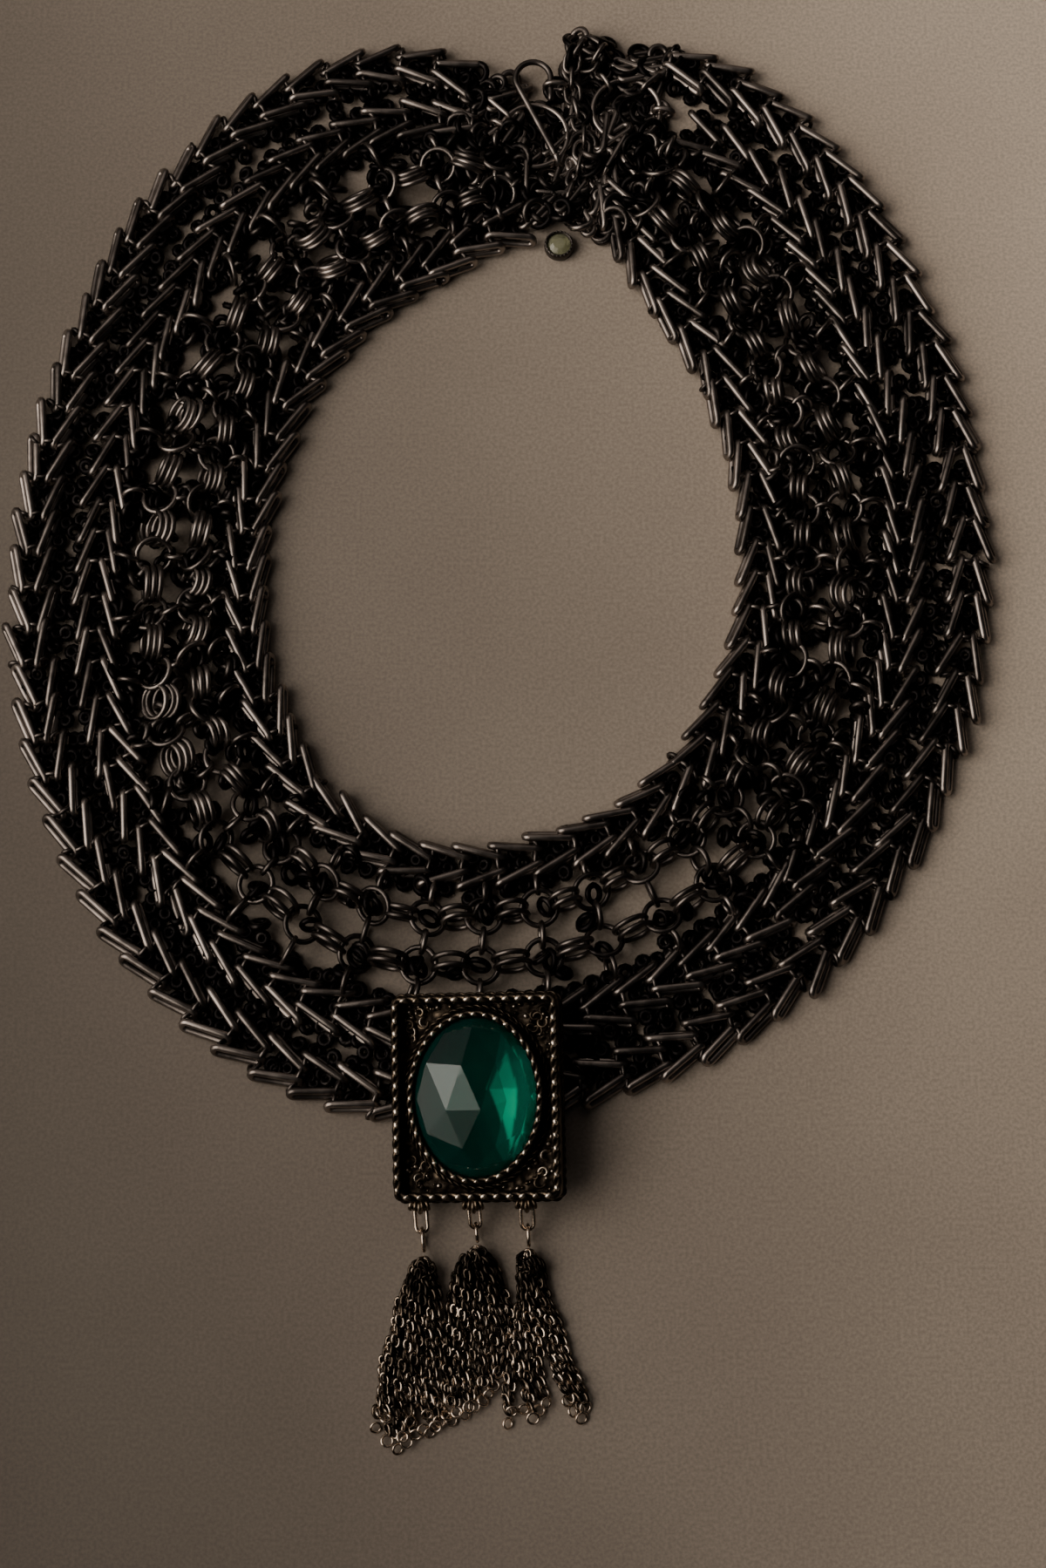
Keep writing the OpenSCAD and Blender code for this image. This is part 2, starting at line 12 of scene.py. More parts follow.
import bpy
import numpy as np
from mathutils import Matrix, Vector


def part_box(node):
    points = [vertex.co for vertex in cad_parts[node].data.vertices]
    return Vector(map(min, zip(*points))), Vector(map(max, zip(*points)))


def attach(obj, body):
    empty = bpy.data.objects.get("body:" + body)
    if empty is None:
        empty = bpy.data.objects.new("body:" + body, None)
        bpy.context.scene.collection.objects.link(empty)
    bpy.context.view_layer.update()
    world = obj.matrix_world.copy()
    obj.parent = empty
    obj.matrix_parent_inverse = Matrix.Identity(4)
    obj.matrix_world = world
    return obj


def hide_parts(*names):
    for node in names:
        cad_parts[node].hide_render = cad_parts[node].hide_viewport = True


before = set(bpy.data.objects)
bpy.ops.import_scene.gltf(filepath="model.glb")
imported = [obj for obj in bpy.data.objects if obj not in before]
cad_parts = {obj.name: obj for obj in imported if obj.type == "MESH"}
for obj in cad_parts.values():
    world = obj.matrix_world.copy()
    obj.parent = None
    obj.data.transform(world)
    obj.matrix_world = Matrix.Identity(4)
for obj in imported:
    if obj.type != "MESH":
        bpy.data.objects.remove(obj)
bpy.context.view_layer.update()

MM = 0.001
FLOOR_GAP = 0.03
UP = np.array([0.0, 0.0, 1.0])
LOG = logging.getLogger("collar")
Array = np.ndarray
Color = tuple[float, float, float, float]
Triple = tuple[float, float, float]
Pair = tuple[float, float]
Material = bpy.types.Material
Socket = bpy.types.NodeSocket


class Slot(str, Enum):
    """Material slots of the record."""

    GUNMETAL = "gunmetal"
    OLD_GOLD = "old_gold"
    GREEN_STONE = "green_stone"
    PALE_STONE = "pale_stone"


class Axis(IntEnum):
    """Axes of a turn."""

    X = 0
    Y = 1
    Z = 2


class Column(IntEnum):
    """Columns of BANDS, one for each strand or row."""

    NECK = 1
    INNER_ROW = 2
    OUTER_ROW = 3
    SECOND = 4
    OUTER = 5


# Radii of the strands about the middle of the opening, a row for each direction in degrees.
COLLAR_MIDDLE = np.array([0.5, 34.5])
BANDS = np.array([
    [172, 76.5, 83.0, 92.0, 97.0, 97.0],
    [183, 73.5, 81.5, 90.8, 99.5, 110.5],
    [189, 70.5, 80.0, 89.8, 102.0, 116.0],
    [195, 67.5, 79.0, 89.0, 104.0, 118.5],
    [210, 63.0, 76.0, 85.5, 101.0, 117.0],
    [240, 57.5, 68.2, 77.8, 91.0, 105.5],
    [270, 56.5, 66.5, 76.0, 88.5, 102.5],
    [300, 62.0, 73.8, 83.8, 96.0, 110.0],
    [330, 72.0, 84.5, 94.5, 108.0, 121.5],
    [345, 74.0, 86.0, 96.5, 109.5, 124.0],
    [360, 72.0, 83.0, 93.5, 107.0, 121.5],
    [375, 69.5, 80.0, 91.0, 103.5, 118.0],
    [390, 66.5, 77.0, 88.5, 100.5, 114.5],
    [420, 58.5, 68.5, 79.0, 91.0, 105.5],
    [450, 55.5, 65.2, 74.8, 87.0, 101.0],
    [480, 58.5, 69.0, 79.0, 91.5, 106.0],
    [495, 63.0, 74.0, 85.0, 97.5, 113.0],
    [510, 69.0, 81.0, 91.5, 105.0, 120.5],
    [518, 77.0, 85.5, 94.5, 107.5, 122.5],
    [527, 90.5, 90.5, 97.0, 109.0, 122.5],
])
BAND_ENDS = {Column.NECK: (177, 525), Column.INNER_ROW: (177.5, 520), Column.OUTER_ROW: (177, 522),
             Column.SECOND: (184.5, 517.5), Column.OUTER: (184, 522)}


def radius_at(column: Column, a: Array) -> Array:
    """Radius of a strand on a smooth curve through the rows of BANDS.

    Args:
        column: The strand.
        a: Directions in degrees.

    Returns:
        One radius for each direction.
    """
    rows, values = BANDS[:, 0], BANDS[:, column]
    last = len(rows) - 1
    i = np.clip(np.searchsorted(rows, a, side="right") - 1, 0, last - 1)
    steps = np.arange(last + 1)
    high, low = np.minimum(steps + 1, last), np.maximum(steps - 1, 0)
    slope = (values[high] - values[low]) / (rows[high] - rows[low])
    span = rows[i + 1] - rows[i]
    t = (a - rows[i]) / span
    return (values[i] * (2 * t**3 - 3 * t**2 + 1) + values[i + 1] * (3 * t**2 - 2 * t**3)
            + slope[i] * span * (t**3 - 2 * t**2 + t) + slope[i + 1] * span * (t**3 - t**2))


def strand_point(column: Column, a: Array) -> Array:
    """Points (x, y) of a strand at some directions in degrees."""
    r, q = radius_at(column, a), np.radians(a)
    return COLLAR_MIDDLE + np.stack([r * np.sin(q), -r * np.cos(q)], 1)


def lengths(path: Array) -> Array:
    """Distance along a path at each of its points."""
    return np.concatenate([[0.0], np.cumsum(np.linalg.norm(np.diff(path, axis=0), axis=1))])


def places_at(at: Array, s: Array, path: Array) -> Array:
    """Points at some distances along a path whose points lie at the distances s."""
    return np.stack([np.interp(at, s, path[:, axis]) for axis in range(path.shape[1])], 1)


def even_directions(column: Column, count: int) -> Array:
    """Directions of places that lie evenly along a strand.

    Args:
        column: The strand.
        count: Places along the whole strand.

    Returns:
        One direction in degrees for each place.
    """
    first, last = BAND_ENDS[column]
    a = np.arange(first, last + 3.0, 0.5)
    s = lengths(strand_point(column, a))
    return np.interp(np.interp(last, a, s) * (np.arange(count) + 0.5) / count, s, a)


def sector_places(k: int, count: int, sectors: int) -> Array:
    """Places that sector k, from 1, holds when they are shared among sectors."""
    return np.arange((k - 1) * count // sectors, k * count // sectors)


def heading(d: Array) -> Array:
    """Headings of some directions in degrees from +X."""
    return np.degrees(np.arctan2(d[..., 1], d[..., 0]))


def spin(axis: Axis, degrees: float | Array) -> Array:
    """Matrices that turn about one axis.

    Args:
        axis: Axis of the turn.
        degrees: One angle or several.

    Returns:
        A matrix for each angle, shaped (n, 3, 3).
    """
    angle = np.radians(np.atleast_1d(np.asarray(degrees, float)))
    first, second = (axis + 1) % 3, (axis + 2) % 3
    turn = np.zeros((len(angle), 3, 3))
    turn[:, axis, axis] = 1.0
    turn[:, first, first] = turn[:, second, second] = np.cos(angle)
    turn[:, first, second] = -np.sin(angle)
    turn[:, second, first] = np.sin(angle)
    return turn


def pose_along(d: Array, roll: float | Array, yaw: float = 0.0) -> Array:
    """Turns that lay +X along some directions, after a roll about it and a yaw in degrees."""
    fall = -np.degrees(np.arctan2(d[..., 2], np.hypot(d[..., 0], d[..., 1])))
    return spin(Axis.Z, heading(d) + yaw) @ spin(Axis.Y, fall) @ spin(Axis.X, roll)


def turned(turns: Array, points: Array) -> Array:
    """Points after a turn each, or one point after each of the turns."""
    return np.einsum("nij,nj->ni", turns, np.broadcast_to(points, (len(turns), 3)))


def round_angles(count: int) -> Array:
    """Even angles round a circle in radians."""
    return 2 * np.pi * np.arange(count) / count


def arc(r_x: float | Array, r_y: float | Array, q: Array, z: float | Array = 0.0) -> Array:
    """Points of an oval at some angles in radians, at a height."""
    return np.stack([r_x * np.cos(q), r_y * np.sin(q), np.broadcast_to(z, q.shape)], 1)


@dataclass
class Part:
    """Points in millimetres, the same for all its copies or a set for each, with their faces.

    The tone of a point runs from 0 to 1: low in recesses and where shade is painted, high on worn crests and where
    highlights are painted.
    """

    points: Array
    quads: Array | None = None
    tris: Array | None = None
    tone: Array | None = None

    def __post_init__(self) -> None:
        """Puts in no faces and the full tone where none are given."""
        self.quads = np.zeros((0, 4), int) if self.quads is None else self.quads
        self.tris = np.zeros((0, 3), int) if self.tris is None else self.tris
        self.tone = np.ones(self.points.shape[-2]) if self.tone is None else self.tone


def grid_quads(rows: int, columns: int, row_loop: bool = False, column_loop: bool = True) -> Array:
    """Faces of a grid of points whose rows or columns may close on themselves.

    Args:
        rows: Rows of points.
        columns: Points in a row.
        row_loop: Whether the last row joins the first.
        column_loop: Whether the last column joins the first.

    Returns:
        Four corners for each face.
    """
    i = np.arange(rows if row_loop else rows - 1)
    j = np.arange(columns if column_loop else columns - 1)
    a, b = np.meshgrid(i, j, indexing="ij")
    a, b = a.ravel(), b.ravel()
    c, d = (a + 1) % rows, (b + 1) % columns
    return np.stack([a * columns + b, a * columns + d, c * columns + d, c * columns + b], 1)


def fan(tip: int, first: int, count: int, backward: bool) -> Array:
    """Triangles between a tip and a ring of points.

    Args:
        tip: Number of the tip.
        first: Number of the ring's first point.
        count: Points in the ring.
        backward: Whether they run against the ring.

    Returns:
        Three corners for each triangle.
    """
    here = first + np.arange(count)
    onward = first + (np.arange(count) + 1) % count
    rim = (onward, here) if backward else (here, onward)
    return np.stack([np.full(count, tip), *rim], 1)


def capped(points: Array, sides: int, tips: Array) -> Part:
    """Form of rings of points, with its two ends closed.

    Args:
        points: Points of the rings, one ring after the other.
        sides: Points in a ring.
        tips: The middle of the first ring and that of the last.

    Returns:
        The form.
    """
    count = len(points)
    tris = np.concatenate([fan(count, 0, sides, True), fan(count + 1, count - sides, sides, False)])
    return Part(np.concatenate([points, tips]), grid_quads(count // sides, sides), tris)


def path_frames(path: Array, up: Array, closed: bool) -> tuple[Array, Array]:
    """Two directions across a path at each point.

    Args:
        path: Points of the path.
        up: Direction that the first one follows.
        closed: Whether the path is a loop.

    Returns:
        The direction nearest to up, and the one across it and the path.
    """
    tangent = np.roll(path, -1, 0) - np.roll(path, 1, 0) if closed else np.gradient(path, axis=0)
    tangent /= np.linalg.norm(tangent, axis=1)[:, None]
    up = np.broadcast_to(np.asarray(up, float), path.shape)
    first = up - (up * tangent).sum(1)[:, None] * tangent
    first /= np.linalg.norm(first, axis=1)[:, None]
    return first, np.cross(tangent, first)


def wire(path: Array, diameter: float, sides: int, up: Array = UP, closed: bool = True) -> Part:
    """Round wire along a path, with rounded ends where the path is open.

    Args:
        path: Points of the path.
        diameter: Thickness of the wire.
        sides: Sides of its section.
        up: Direction that the sections' first side follows.
        closed: Whether the path is a loop.

    Returns:
        The wire.
    """
    radius = np.full(len(path), diameter / 2)
    if not closed:
        ease, narrow = (turn(np.radians([0, 40, 70, 88])) for turn in (np.sin, np.cos))
        start = (path[0] - path[1]) / np.linalg.norm(path[0] - path[1])
        stop = (path[-1] - path[-2]) / np.linalg.norm(path[-1] - path[-2])
        head = path[0] + start * (ease[1:, None] * diameter / 2)
        tail = path[-1] + stop * (ease[1:, None] * diameter / 2)
        path = np.concatenate([head[::-1], path, tail])
        radius = np.concatenate([narrow[:0:-1] * diameter / 2, radius, narrow[1:] * diameter / 2])
    first, second = path_frames(path, up, closed)
    angle = round_angles(sides)[None, :, None]
    around = np.cos(angle) * first[:, None] + np.sin(angle) * second[:, None]
    points = (path[:, None] + radius[:, None, None] * around).reshape(-1, 3)
    if closed:
        return Part(points, grid_quads(len(path), sides, True))
    return capped(points, sides, path[[0, -1]])


def oval_link(length: float, width: float, thick: float, sides: int, bend_steps: int) -> Part:
    """Standing link of round wire with straight sides, in outer sizes.

    Args:
        length: Outer length along X.
        width: Outer width along Z.
        thick: Thickness of the wire.
        sides: Sides of the wire's section.
        bend_steps: Steps round each end.

    Returns:
        The link.
    """
    bend = np.radians(np.linspace(-90, 90, bend_steps + 1))
    radius = (width - thick) / 2
    half = (length - thick - (width - thick)) / 2
    end = np.stack([half + radius * np.cos(bend), 0 * bend, radius * np.sin(bend)], 1)
    return wire(np.concatenate([end, -end]), thick, sides, np.array([0.0, 1.0, 0.0]))


def ball(diameter: float, rings: int = 5, sides: int = 8) -> Part:
    """Small round grain.

    Args:
        diameter: Diameter of the grain.
        rings: Rings of points between its poles.
        sides: Points in a ring.

    Returns:
        The grain, with its lower half in shade.
    """
    tilt, turn = np.pi * (np.arange(rings) + 1) / (rings + 1), round_angles(sides)
    body = [arc(np.sin(t), np.sin(t), turn, np.cos(t)) for t in tilt]
    points = np.concatenate([*body, [UP, -UP]]) * diameter / 2
    count = rings * sides
    tris = np.concatenate([fan(count, 0, sides, False), fan(count + 1, count - sides, sides, True)])
    return Part(points, grid_quads(rings, sides)[:, ::-1], tris, 0.5 + points[:, 2] / diameter)


def lathe(profile: list[tuple[float, float]], sides: int) -> Part:
    """Round form from a profile, with its two ends closed.

    Args:
        profile: Radius and height of each ring of points, from the bottom round to the top.
        sides: Points in a ring.

    Returns:
        The form.
    """
    rings = [arc(r, r, round_angles(sides), z) for r, z in profile]
    return capped(np.concatenate(rings), sides, np.array([profile[0][1] * UP, profile[-1][1] * UP]))


def rose_cut(radius: float, base: float, rise: float, facets: int, share: float) -> Part:
    """Small round rose cut: a star of facets round a flat table, and a flat back.

    Args:
        radius: Radius of the girdle.
        base: Height of the flat back.
        rise: Height of the girdle.
        facets: Sides of the table.
        share: Size of the table beside the girdle.

    Returns:
        The stone.
    """
    n = 2 * facets
    girdle = arc(radius, radius, round_angles(n), rise)
    back = girdle * [0.9, 0.9, 0.0] + base * UP
    w = 2 * np.pi * (np.arange(facets) + 0.5) / facets
    table = arc(share * radius, share * radius, w, rise + 0.8)
    points = np.concatenate([back, girdle, table, [(rise + 0.85) * UP, base * UP]])
    tris = []
    for k in range(facets):
        here, onward = 2 * n + k, 2 * n + (k + 1) % facets
        edge, middle, corner = n + 2 * k, n + 2 * k + 1, n + (2 * k + 2) % n
        tris += [[edge, middle, here], [middle, corner, here], [here, corner, onward],
                 [here, onward, 2 * n + facets]]
    tris = np.concatenate([tris, fan(len(points) - 1, 0, n, True)])
    return Part(points, grid_quads(2, n), tris)


def even_loop(outline: Array, steps: int) -> Array:
    """Closed outline (x, y), whose last point is its first, as points (x, y, 0) in even steps."""
    s = lengths(outline)
    return np.column_stack([places_at(np.linspace(0, s[-1], steps, endpoint=False), s, outline), np.zeros(steps)])


def rounded_rectangle(width: float, height: float, corner: float, step: float) -> Array:
    """Closed path round a rectangle with rounded corners.

    Args:
        width: Width of the path.
        height: Height of the path.
        corner: Radius of the corners.
        step: Length of one step.

    Returns:
        Points (x, y, 0) of the path.
    """
    outline = []
    for k, signs in enumerate(((1, 1), (-1, 1), (-1, -1), (1, -1))):
        q = np.radians(np.linspace(0, 90, 9)) + k * np.pi / 2
        middle = np.array(signs) * [width / 2 - corner, height / 2 - corner]
        outline.append(middle + corner * np.stack([np.cos(q), np.sin(q)], 1))
    outline = np.concatenate(outline + [outline[0][:1]])
    return even_loop(outline, int(lengths(outline)[-1] / step))


def oval_path(width: float, height: float, steps: int) -> Array:
    """Closed path (x, y, 0) round an oval in steps of even length."""
    return even_loop(arc(width / 2, height / 2, np.linspace(0, 2 * np.pi, 721))[:, :2], steps)


class Joined:
    """Placed copies of small parts, joined into one piece."""

    def __init__(self, name: str) -> None:
        """Starts an empty piece of that name."""
        self.name, self.count = name, 0
        self.points, self.quads, self.tris, self.tones = [], [], [], []

    def add(self, part: Part, turns: Array | None = None, places: Array | Triple = (0.0, 0.0, 0.0),
            tone: Array | float = 1.0, on_floor: bool = False) -> None:
        """Adds copies of a part.

        Args:
            part: The part.
            turns: A matrix for each copy, or None for one copy as it is.
            places: A point for each copy, or one for all.
            tone: Tone of each copy, which multiplies the part's own.
            on_floor: Whether a copy that would sink below the floor is raised onto it.
        """
        turns = np.eye(3)[None] if turns is None else turns
        copies, size = len(turns), part.points.shape[-2]
        points = np.einsum("nij,npj->npi", turns, np.broadcast_to(part.points, (copies, size, 3)))
        points = points + np.reshape(places, (-1, 1, 3))
        if on_floor:
            points[..., 2] += np.clip(FLOOR_GAP - points[..., 2].min(1), 0, None)[:, None]
        starts = self.count + size * np.arange(copies)[:, None, None]
        self.points.append(points.reshape(-1, 3))
        self.quads.append((part.quads + starts).reshape(-1, 4))
        self.tris.append((part.tris + starts).reshape(-1, 3))
        self.tones.append((part.tone * np.broadcast_to(tone, copies)[:, None]).ravel())
        self.count += copies * size

    def add_rings(self, turns: Array, places: Array, diameters: Array | float, thick: float,
                  steps: int, sides: int, tone: Array | float = 1.0, on_floor: bool = True) -> None:
        """Adds round rings of one wire and several diameters.

        Args:
            turns: A matrix for each ring, whose own axis is Z.
            places: Middle of each ring.
            diameters: Outer diameter of each ring, or of all.
            thick: Thickness of the wire.
            steps: Steps round a ring.
            sides: Sides of the wire's section.
            tone: Tone of each ring.
            on_floor: Whether a ring that would sink below the floor is raised onto it.
        """
        around, section = round_angles(steps)[None, :, None], round_angles(sides)
        radius = (np.broadcast_to(diameters, len(turns)) - thick) / 2
        reach = radius[:, None, None] + thick / 2 * np.cos(section)
        x, y = reach * np.cos(around), reach * np.sin(around)
        z = np.broadcast_to(thick / 2 * np.sin(section), x.shape)
        ring = Part(np.stack([x, y, z], 3).reshape(len(turns), -1, 3), grid_quads(steps, sides, True))
        self.add(ring, turns, places, tone, on_floor)

    def add_rope(self, path: Array, thick: float, pitch: float, sides: int = 8, tone: float = 1.0) -> None:
        """Adds a closed rope of two round wires, dark where they meet and bright on its upper crests, partly wear and
        partly painted highlight, with the undersides of the wires in painted shade.

        Args:
            path: Points of the rope's middle.
            thick: Thickness of the whole rope.
            pitch: Length of one full turn of a wire.
            sides: Sides of each wire's section.
            tone: Tone of the rope.
        """
        first, second = path_frames(path, UP, True)
        steps = np.linalg.norm(np.roll(path, -1, 0) - path, axis=1)
        s = np.concatenate([[0.0], np.cumsum(steps)[:-1]])
        for k in range(2):
            q = (2 * np.pi * s * round(steps.sum() / pitch) / steps.sum() + k * np.pi)[:, None]
            strand = wire(path + thick * 0.23 * (np.cos(q) * first + np.sin(q) * second), thick * 0.56, sides)
            out = (strand.points - np.repeat(path, sides, 0)) / (thick / 2)
            crest_and_highlight = np.clip((np.linalg.norm(out, axis=1) - 0.5) / 0.45, 0, 1)
            # Painted highlight on the top of each crest; the sides and undersides of the wires get painted shade.
            strand.tone = 0.5 * crest_and_highlight * np.clip(4.0 * out[:, 2] - 2.6, 0, 1)
            self.add(strand, tone=tone)

    def add_crests(self, rng: np.random.Generator, path: Array, thick: float, pitch: float) -> None:
        """Adds the fat worn crests along the top of a closed rope, one for each half turn, each darker toward its
        underside as painted shade.

        Args:
            rng: Source of the small differences.
            path: Points of the rope's middle.
            thick: Thickness of the rope.
            pitch: Length of one full turn of a wire.
        """
        loop = np.concatenate([path, path[:1]])
        s = lengths(loop)
        count = 2 * round(s[-1] / pitch)
        at = s[-1] * np.arange(count) / count
        spot = places_at(at, s, loop)
        grain = ball(1.0)
        grain.points = grain.points * [0.80 * thick, 0.56 * thick, 0.46 * thick]
        # Painted shade: each crest is bright on top and darker toward its underside.
        grain.tone = np.clip(0.7 + 1.0 * grain.points[:, 2] / (0.46 * thick), 0, 1)
        turn = spin(Axis.Z, heading(places_at((at + 0.3) % s[-1], s, loop) - spot) + rng.normal(26, 7, count))
        sizes = rng.uniform(0.84, 1.1, count)[:, None, None]
        self.add(grain, turn * sizes, spot + 0.33 * thick * UP, rng.uniform(0.75, 1.3, count))

    def move(self, place: Array | Triple, turn: Array | None = None) -> Joined:
        """Turns everything added so far by one matrix, if it is given, and moves it."""
        self.points = [(p if turn is None else p @ turn.T) + place for p in self.points]
        return self

    def piece(self, nodes: list[str], slot: Slot, finish: Material, smooth: bool = True) -> None:
        """Makes the mesh, which takes the place of CAD nodes.

        Args:
            nodes: CAD nodes that the piece stands for.
            slot: Material slot of the record; not used.
            finish: Material of the piece.
            smooth: Whether its faces are shaded smooth.
        """
        mesh = bpy.data.meshes.new(self.name)
        faces = np.concatenate(self.quads).tolist() + np.concatenate(self.tris).tolist()
        mesh.from_pydata((np.concatenate(self.points) * MM).tolist(), [], faces)
        mesh.polygons.foreach_set("use_smooth", np.full(len(faces), smooth))
        mesh.attributes.new("tone", "FLOAT", "POINT").data.foreach_set("value", np.concatenate(self.tones))
        mesh.materials.append(finish)
        mesh.update()
        piece = bpy.data.objects.new(self.name, mesh)
        bpy.context.scene.collection.objects.link(piece)
        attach(piece, "root")
        if nodes:
            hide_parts(*nodes)
        LOG.info("%s: %d faces", self.name, len(faces))


class Bench:
    """Node tree of one material, with short calls to add and join nodes."""

    def __init__(self, name: str) -> None:
        """Starts a material whose surface is a Principled shader.

        Args:
            name: Name of the material.
        """
        self.material = bpy.data.materials.new(name)
        self.material.use_nodes = True
        self.tree = self.material.node_tree
        self.shader = self.tree.nodes["Principled BSDF"]

    def node(self, kind: str, inputs: dict[str, object] | None = None, **settings: object) -> bpy.types.Node:
        """Adds a node.

        Args:
            kind: Its Blender type without ShaderNode.
            inputs: Values or sockets for its inputs, by name.
            **settings: Properties of the node.

        Returns:
            The node.
        """
        node = self.tree.nodes.new("ShaderNode" + kind)
        for key, value in settings.items():
            setattr(node, key, value)
        self.fill(node, inputs or {})
        return node

    def fill(self, node: bpy.types.Node, inputs: dict[str, object]) -> None:
        """Sets or links inputs of a node.

        Args:
            node: The node.
            inputs: Values or sockets for its inputs, by name or number.
        """
        for key, value in inputs.items():
            socket = node.inputs[int(key)] if key.isdigit() else node.inputs[key]
            if isinstance(value, Socket):
                self.tree.links.new(value, socket)
            else:
                socket.default_value = value

    def tone(self) -> Socket:
        """Tone of the point of the mesh."""
        return self.node("Attribute", attribute_name="tone").outputs["Fac"]

    def noise(self, scale: float, detail: float = 3.0) -> Socket:
        """Noise over the object's own coordinates, with a scale in waves to a metre."""
        place = self.node("TexCoord").outputs["Object"]
        return self.node("TexNoise", {"Vector": place, "Scale": scale, "Detail": detail}).outputs["Fac"]

    def ramp(self, value: Socket, low: float, high: float, first: float = 0.0, last: float = 1.0) -> Socket:
        """Clamped change of range, from low and high to first and last."""
        sockets = {"Value": value, "From Min": low, "From Max": high, "To Min": first, "To Max": last}
        return self.node("MapRange", sockets).outputs["Result"]

    def mix(self, share: Socket | float, first: object, last: object, blend: str = "MIX") -> Socket:
        """Colour between two colours or sockets, or a blend of them, by the share of the last."""
        inputs = {"0": share, "6": first, "7": last}
        return self.node("Mix", inputs, data_type="RGBA", blend_type=blend).outputs[2]

    def math(self, kind: str, first: object, last: object = 0.0) -> Socket:
        """Result of a sum, product or other operation on one value or two."""
        return self.node("Math", {"0": first, "1": last}, operation=kind).outputs["Value"]

    def finish(self, inputs: dict[str, object], height: Socket, strength: float, depth: float) -> Material:
        """Fills in the shader and bumps the surface.

        Args:
            inputs: Inputs of the shader.
            height: Height from 0 to 1.
            strength: Strength of the bump.
            depth: Depth of the bump in metres.

        Returns:
            The material.
        """
        bump = self.node("Bump", {"Height": height, "Strength": strength, "Distance": depth})
        self.fill(self.shader, {**inputs, "Normal": bump.outputs["Normal"]})
        return self.material


def shaded(colour: Color, share: float) -> Color:
    """Colour whose three parts are a share of another's."""
    return (*(share * part for part in colour[:3]), 1.0)


@dataclass(frozen=True)
class Metal:
    """Plated or patinated metal, darker in its recesses and where shade is painted, and brighter on worn crests and
    where highlights are painted.
    """

    name: str
    recess_and_shade: Color
    body: Color
    crest_and_highlight: Color
    rough_low: float
    rough_high: float
    cloud_scale: float
    grain_scale: float
    grain_depth: float

    def material(self) -> Material:
        """Builds the node material.

        Returns:
            The material.
        """
        bench = Bench(self.name)
        tone, cloud = bench.tone(), bench.noise(self.cloud_scale, 4.0)
        mottled_tone = bench.math("ADD", tone, bench.ramp(cloud, 0.3, 0.7, -0.25, 0.25))
        # Low tone gives the recess colour, which also serves as painted shade; high tone gives the crest colour,
        # which also serves as painted highlight.
        base = bench.mix(bench.ramp(mottled_tone, 0.1, 0.55), self.recess_and_shade, self.body)
        base = bench.mix(bench.ramp(mottled_tone, 0.6, 1.15), base, self.crest_and_highlight)
        dull, smear = bench.ramp(mottled_tone, 0.0, 0.9, 1.0, 0.0), bench.ramp(cloud, 0.35, 0.65)
        share = bench.math("MAXIMUM", dull, bench.math("MULTIPLY", smear, 0.45))
        rough = bench.ramp(share, 0.0, 1.0, self.rough_low, self.rough_high)
        return bench.finish({"Base Color": base, "Roughness": rough, "Metallic": 1.0},
                            bench.noise(self.grain_scale, 2.0), 0.6, self.grain_depth)


@dataclass(frozen=True)
class CutGlass:
    """Clear coloured glass with faint scratches.

    A facet's tone paints its reflection and shade: a facet of tone 1 mirrors fully, one of tone 0 or less hardly, and
    the colour is deepest at tone 0.
    """

    name: str
    colour: Color
    deep: float
    rough: float
    clear: float
    index: float = 1.54

    def material(self) -> Material:
        """Builds the node material.

        Returns:
            The material.
        """
        bench = Bench(self.name)
        scratch, tone = bench.noise(900.0, 4.0), bench.tone()
        cloud = bench.ramp(bench.noise(120.0), 0.3, 0.7, -0.06, 0.06)
        # Painted shade and painted reflection: the tone sets the colour's depth and the strength of the mirror.
        depth = bench.ramp(bench.math("ADD", bench.math("ABSOLUTE", tone), cloud), 0.0, 0.8, 1.0, 0.0)
        return bench.finish({
            "Base Color": bench.mix(depth, self.colour, shaded(self.colour, self.deep)),
            "Roughness": bench.ramp(scratch, 0.4, 0.7, self.rough, self.rough + 0.05),
            "IOR": self.index, "Transmission Weight": self.clear,
            "Specular Tint": bench.ramp(tone, 0.0, 1.0, 0.05, 1.0),
        }, scratch, 0.03, 0.00001)


@dataclass(frozen=True)
class Foil:
    """Coloured metal foil behind a stone, with a faint unevenness, a painted glow where its tone is high and painted
    shade where it is low.
    """

    name: str
    colour: Color
    shade: float

    def material(self) -> Material:
        """Builds the node material.

        Returns:
            The material.
        """
        bench = Bench(self.name)
        folds = bench.noise(60.0, 1.0)
        # The tone carries the painted glow of the foil; low tone gives its painted shade.
        mottled_tone = bench.math("MULTIPLY", bench.tone(), bench.ramp(folds, 0.3, 0.7, 0.85, 1.0))
        return bench.finish({
            "Base Color": bench.mix(mottled_tone, shaded(self.colour, self.shade), self.colour),
            "Roughness": bench.ramp(folds, 0.3, 0.7, 0.46, 0.50), "Metallic": 1.0,
        }, folds, 0.02, 0.00005)


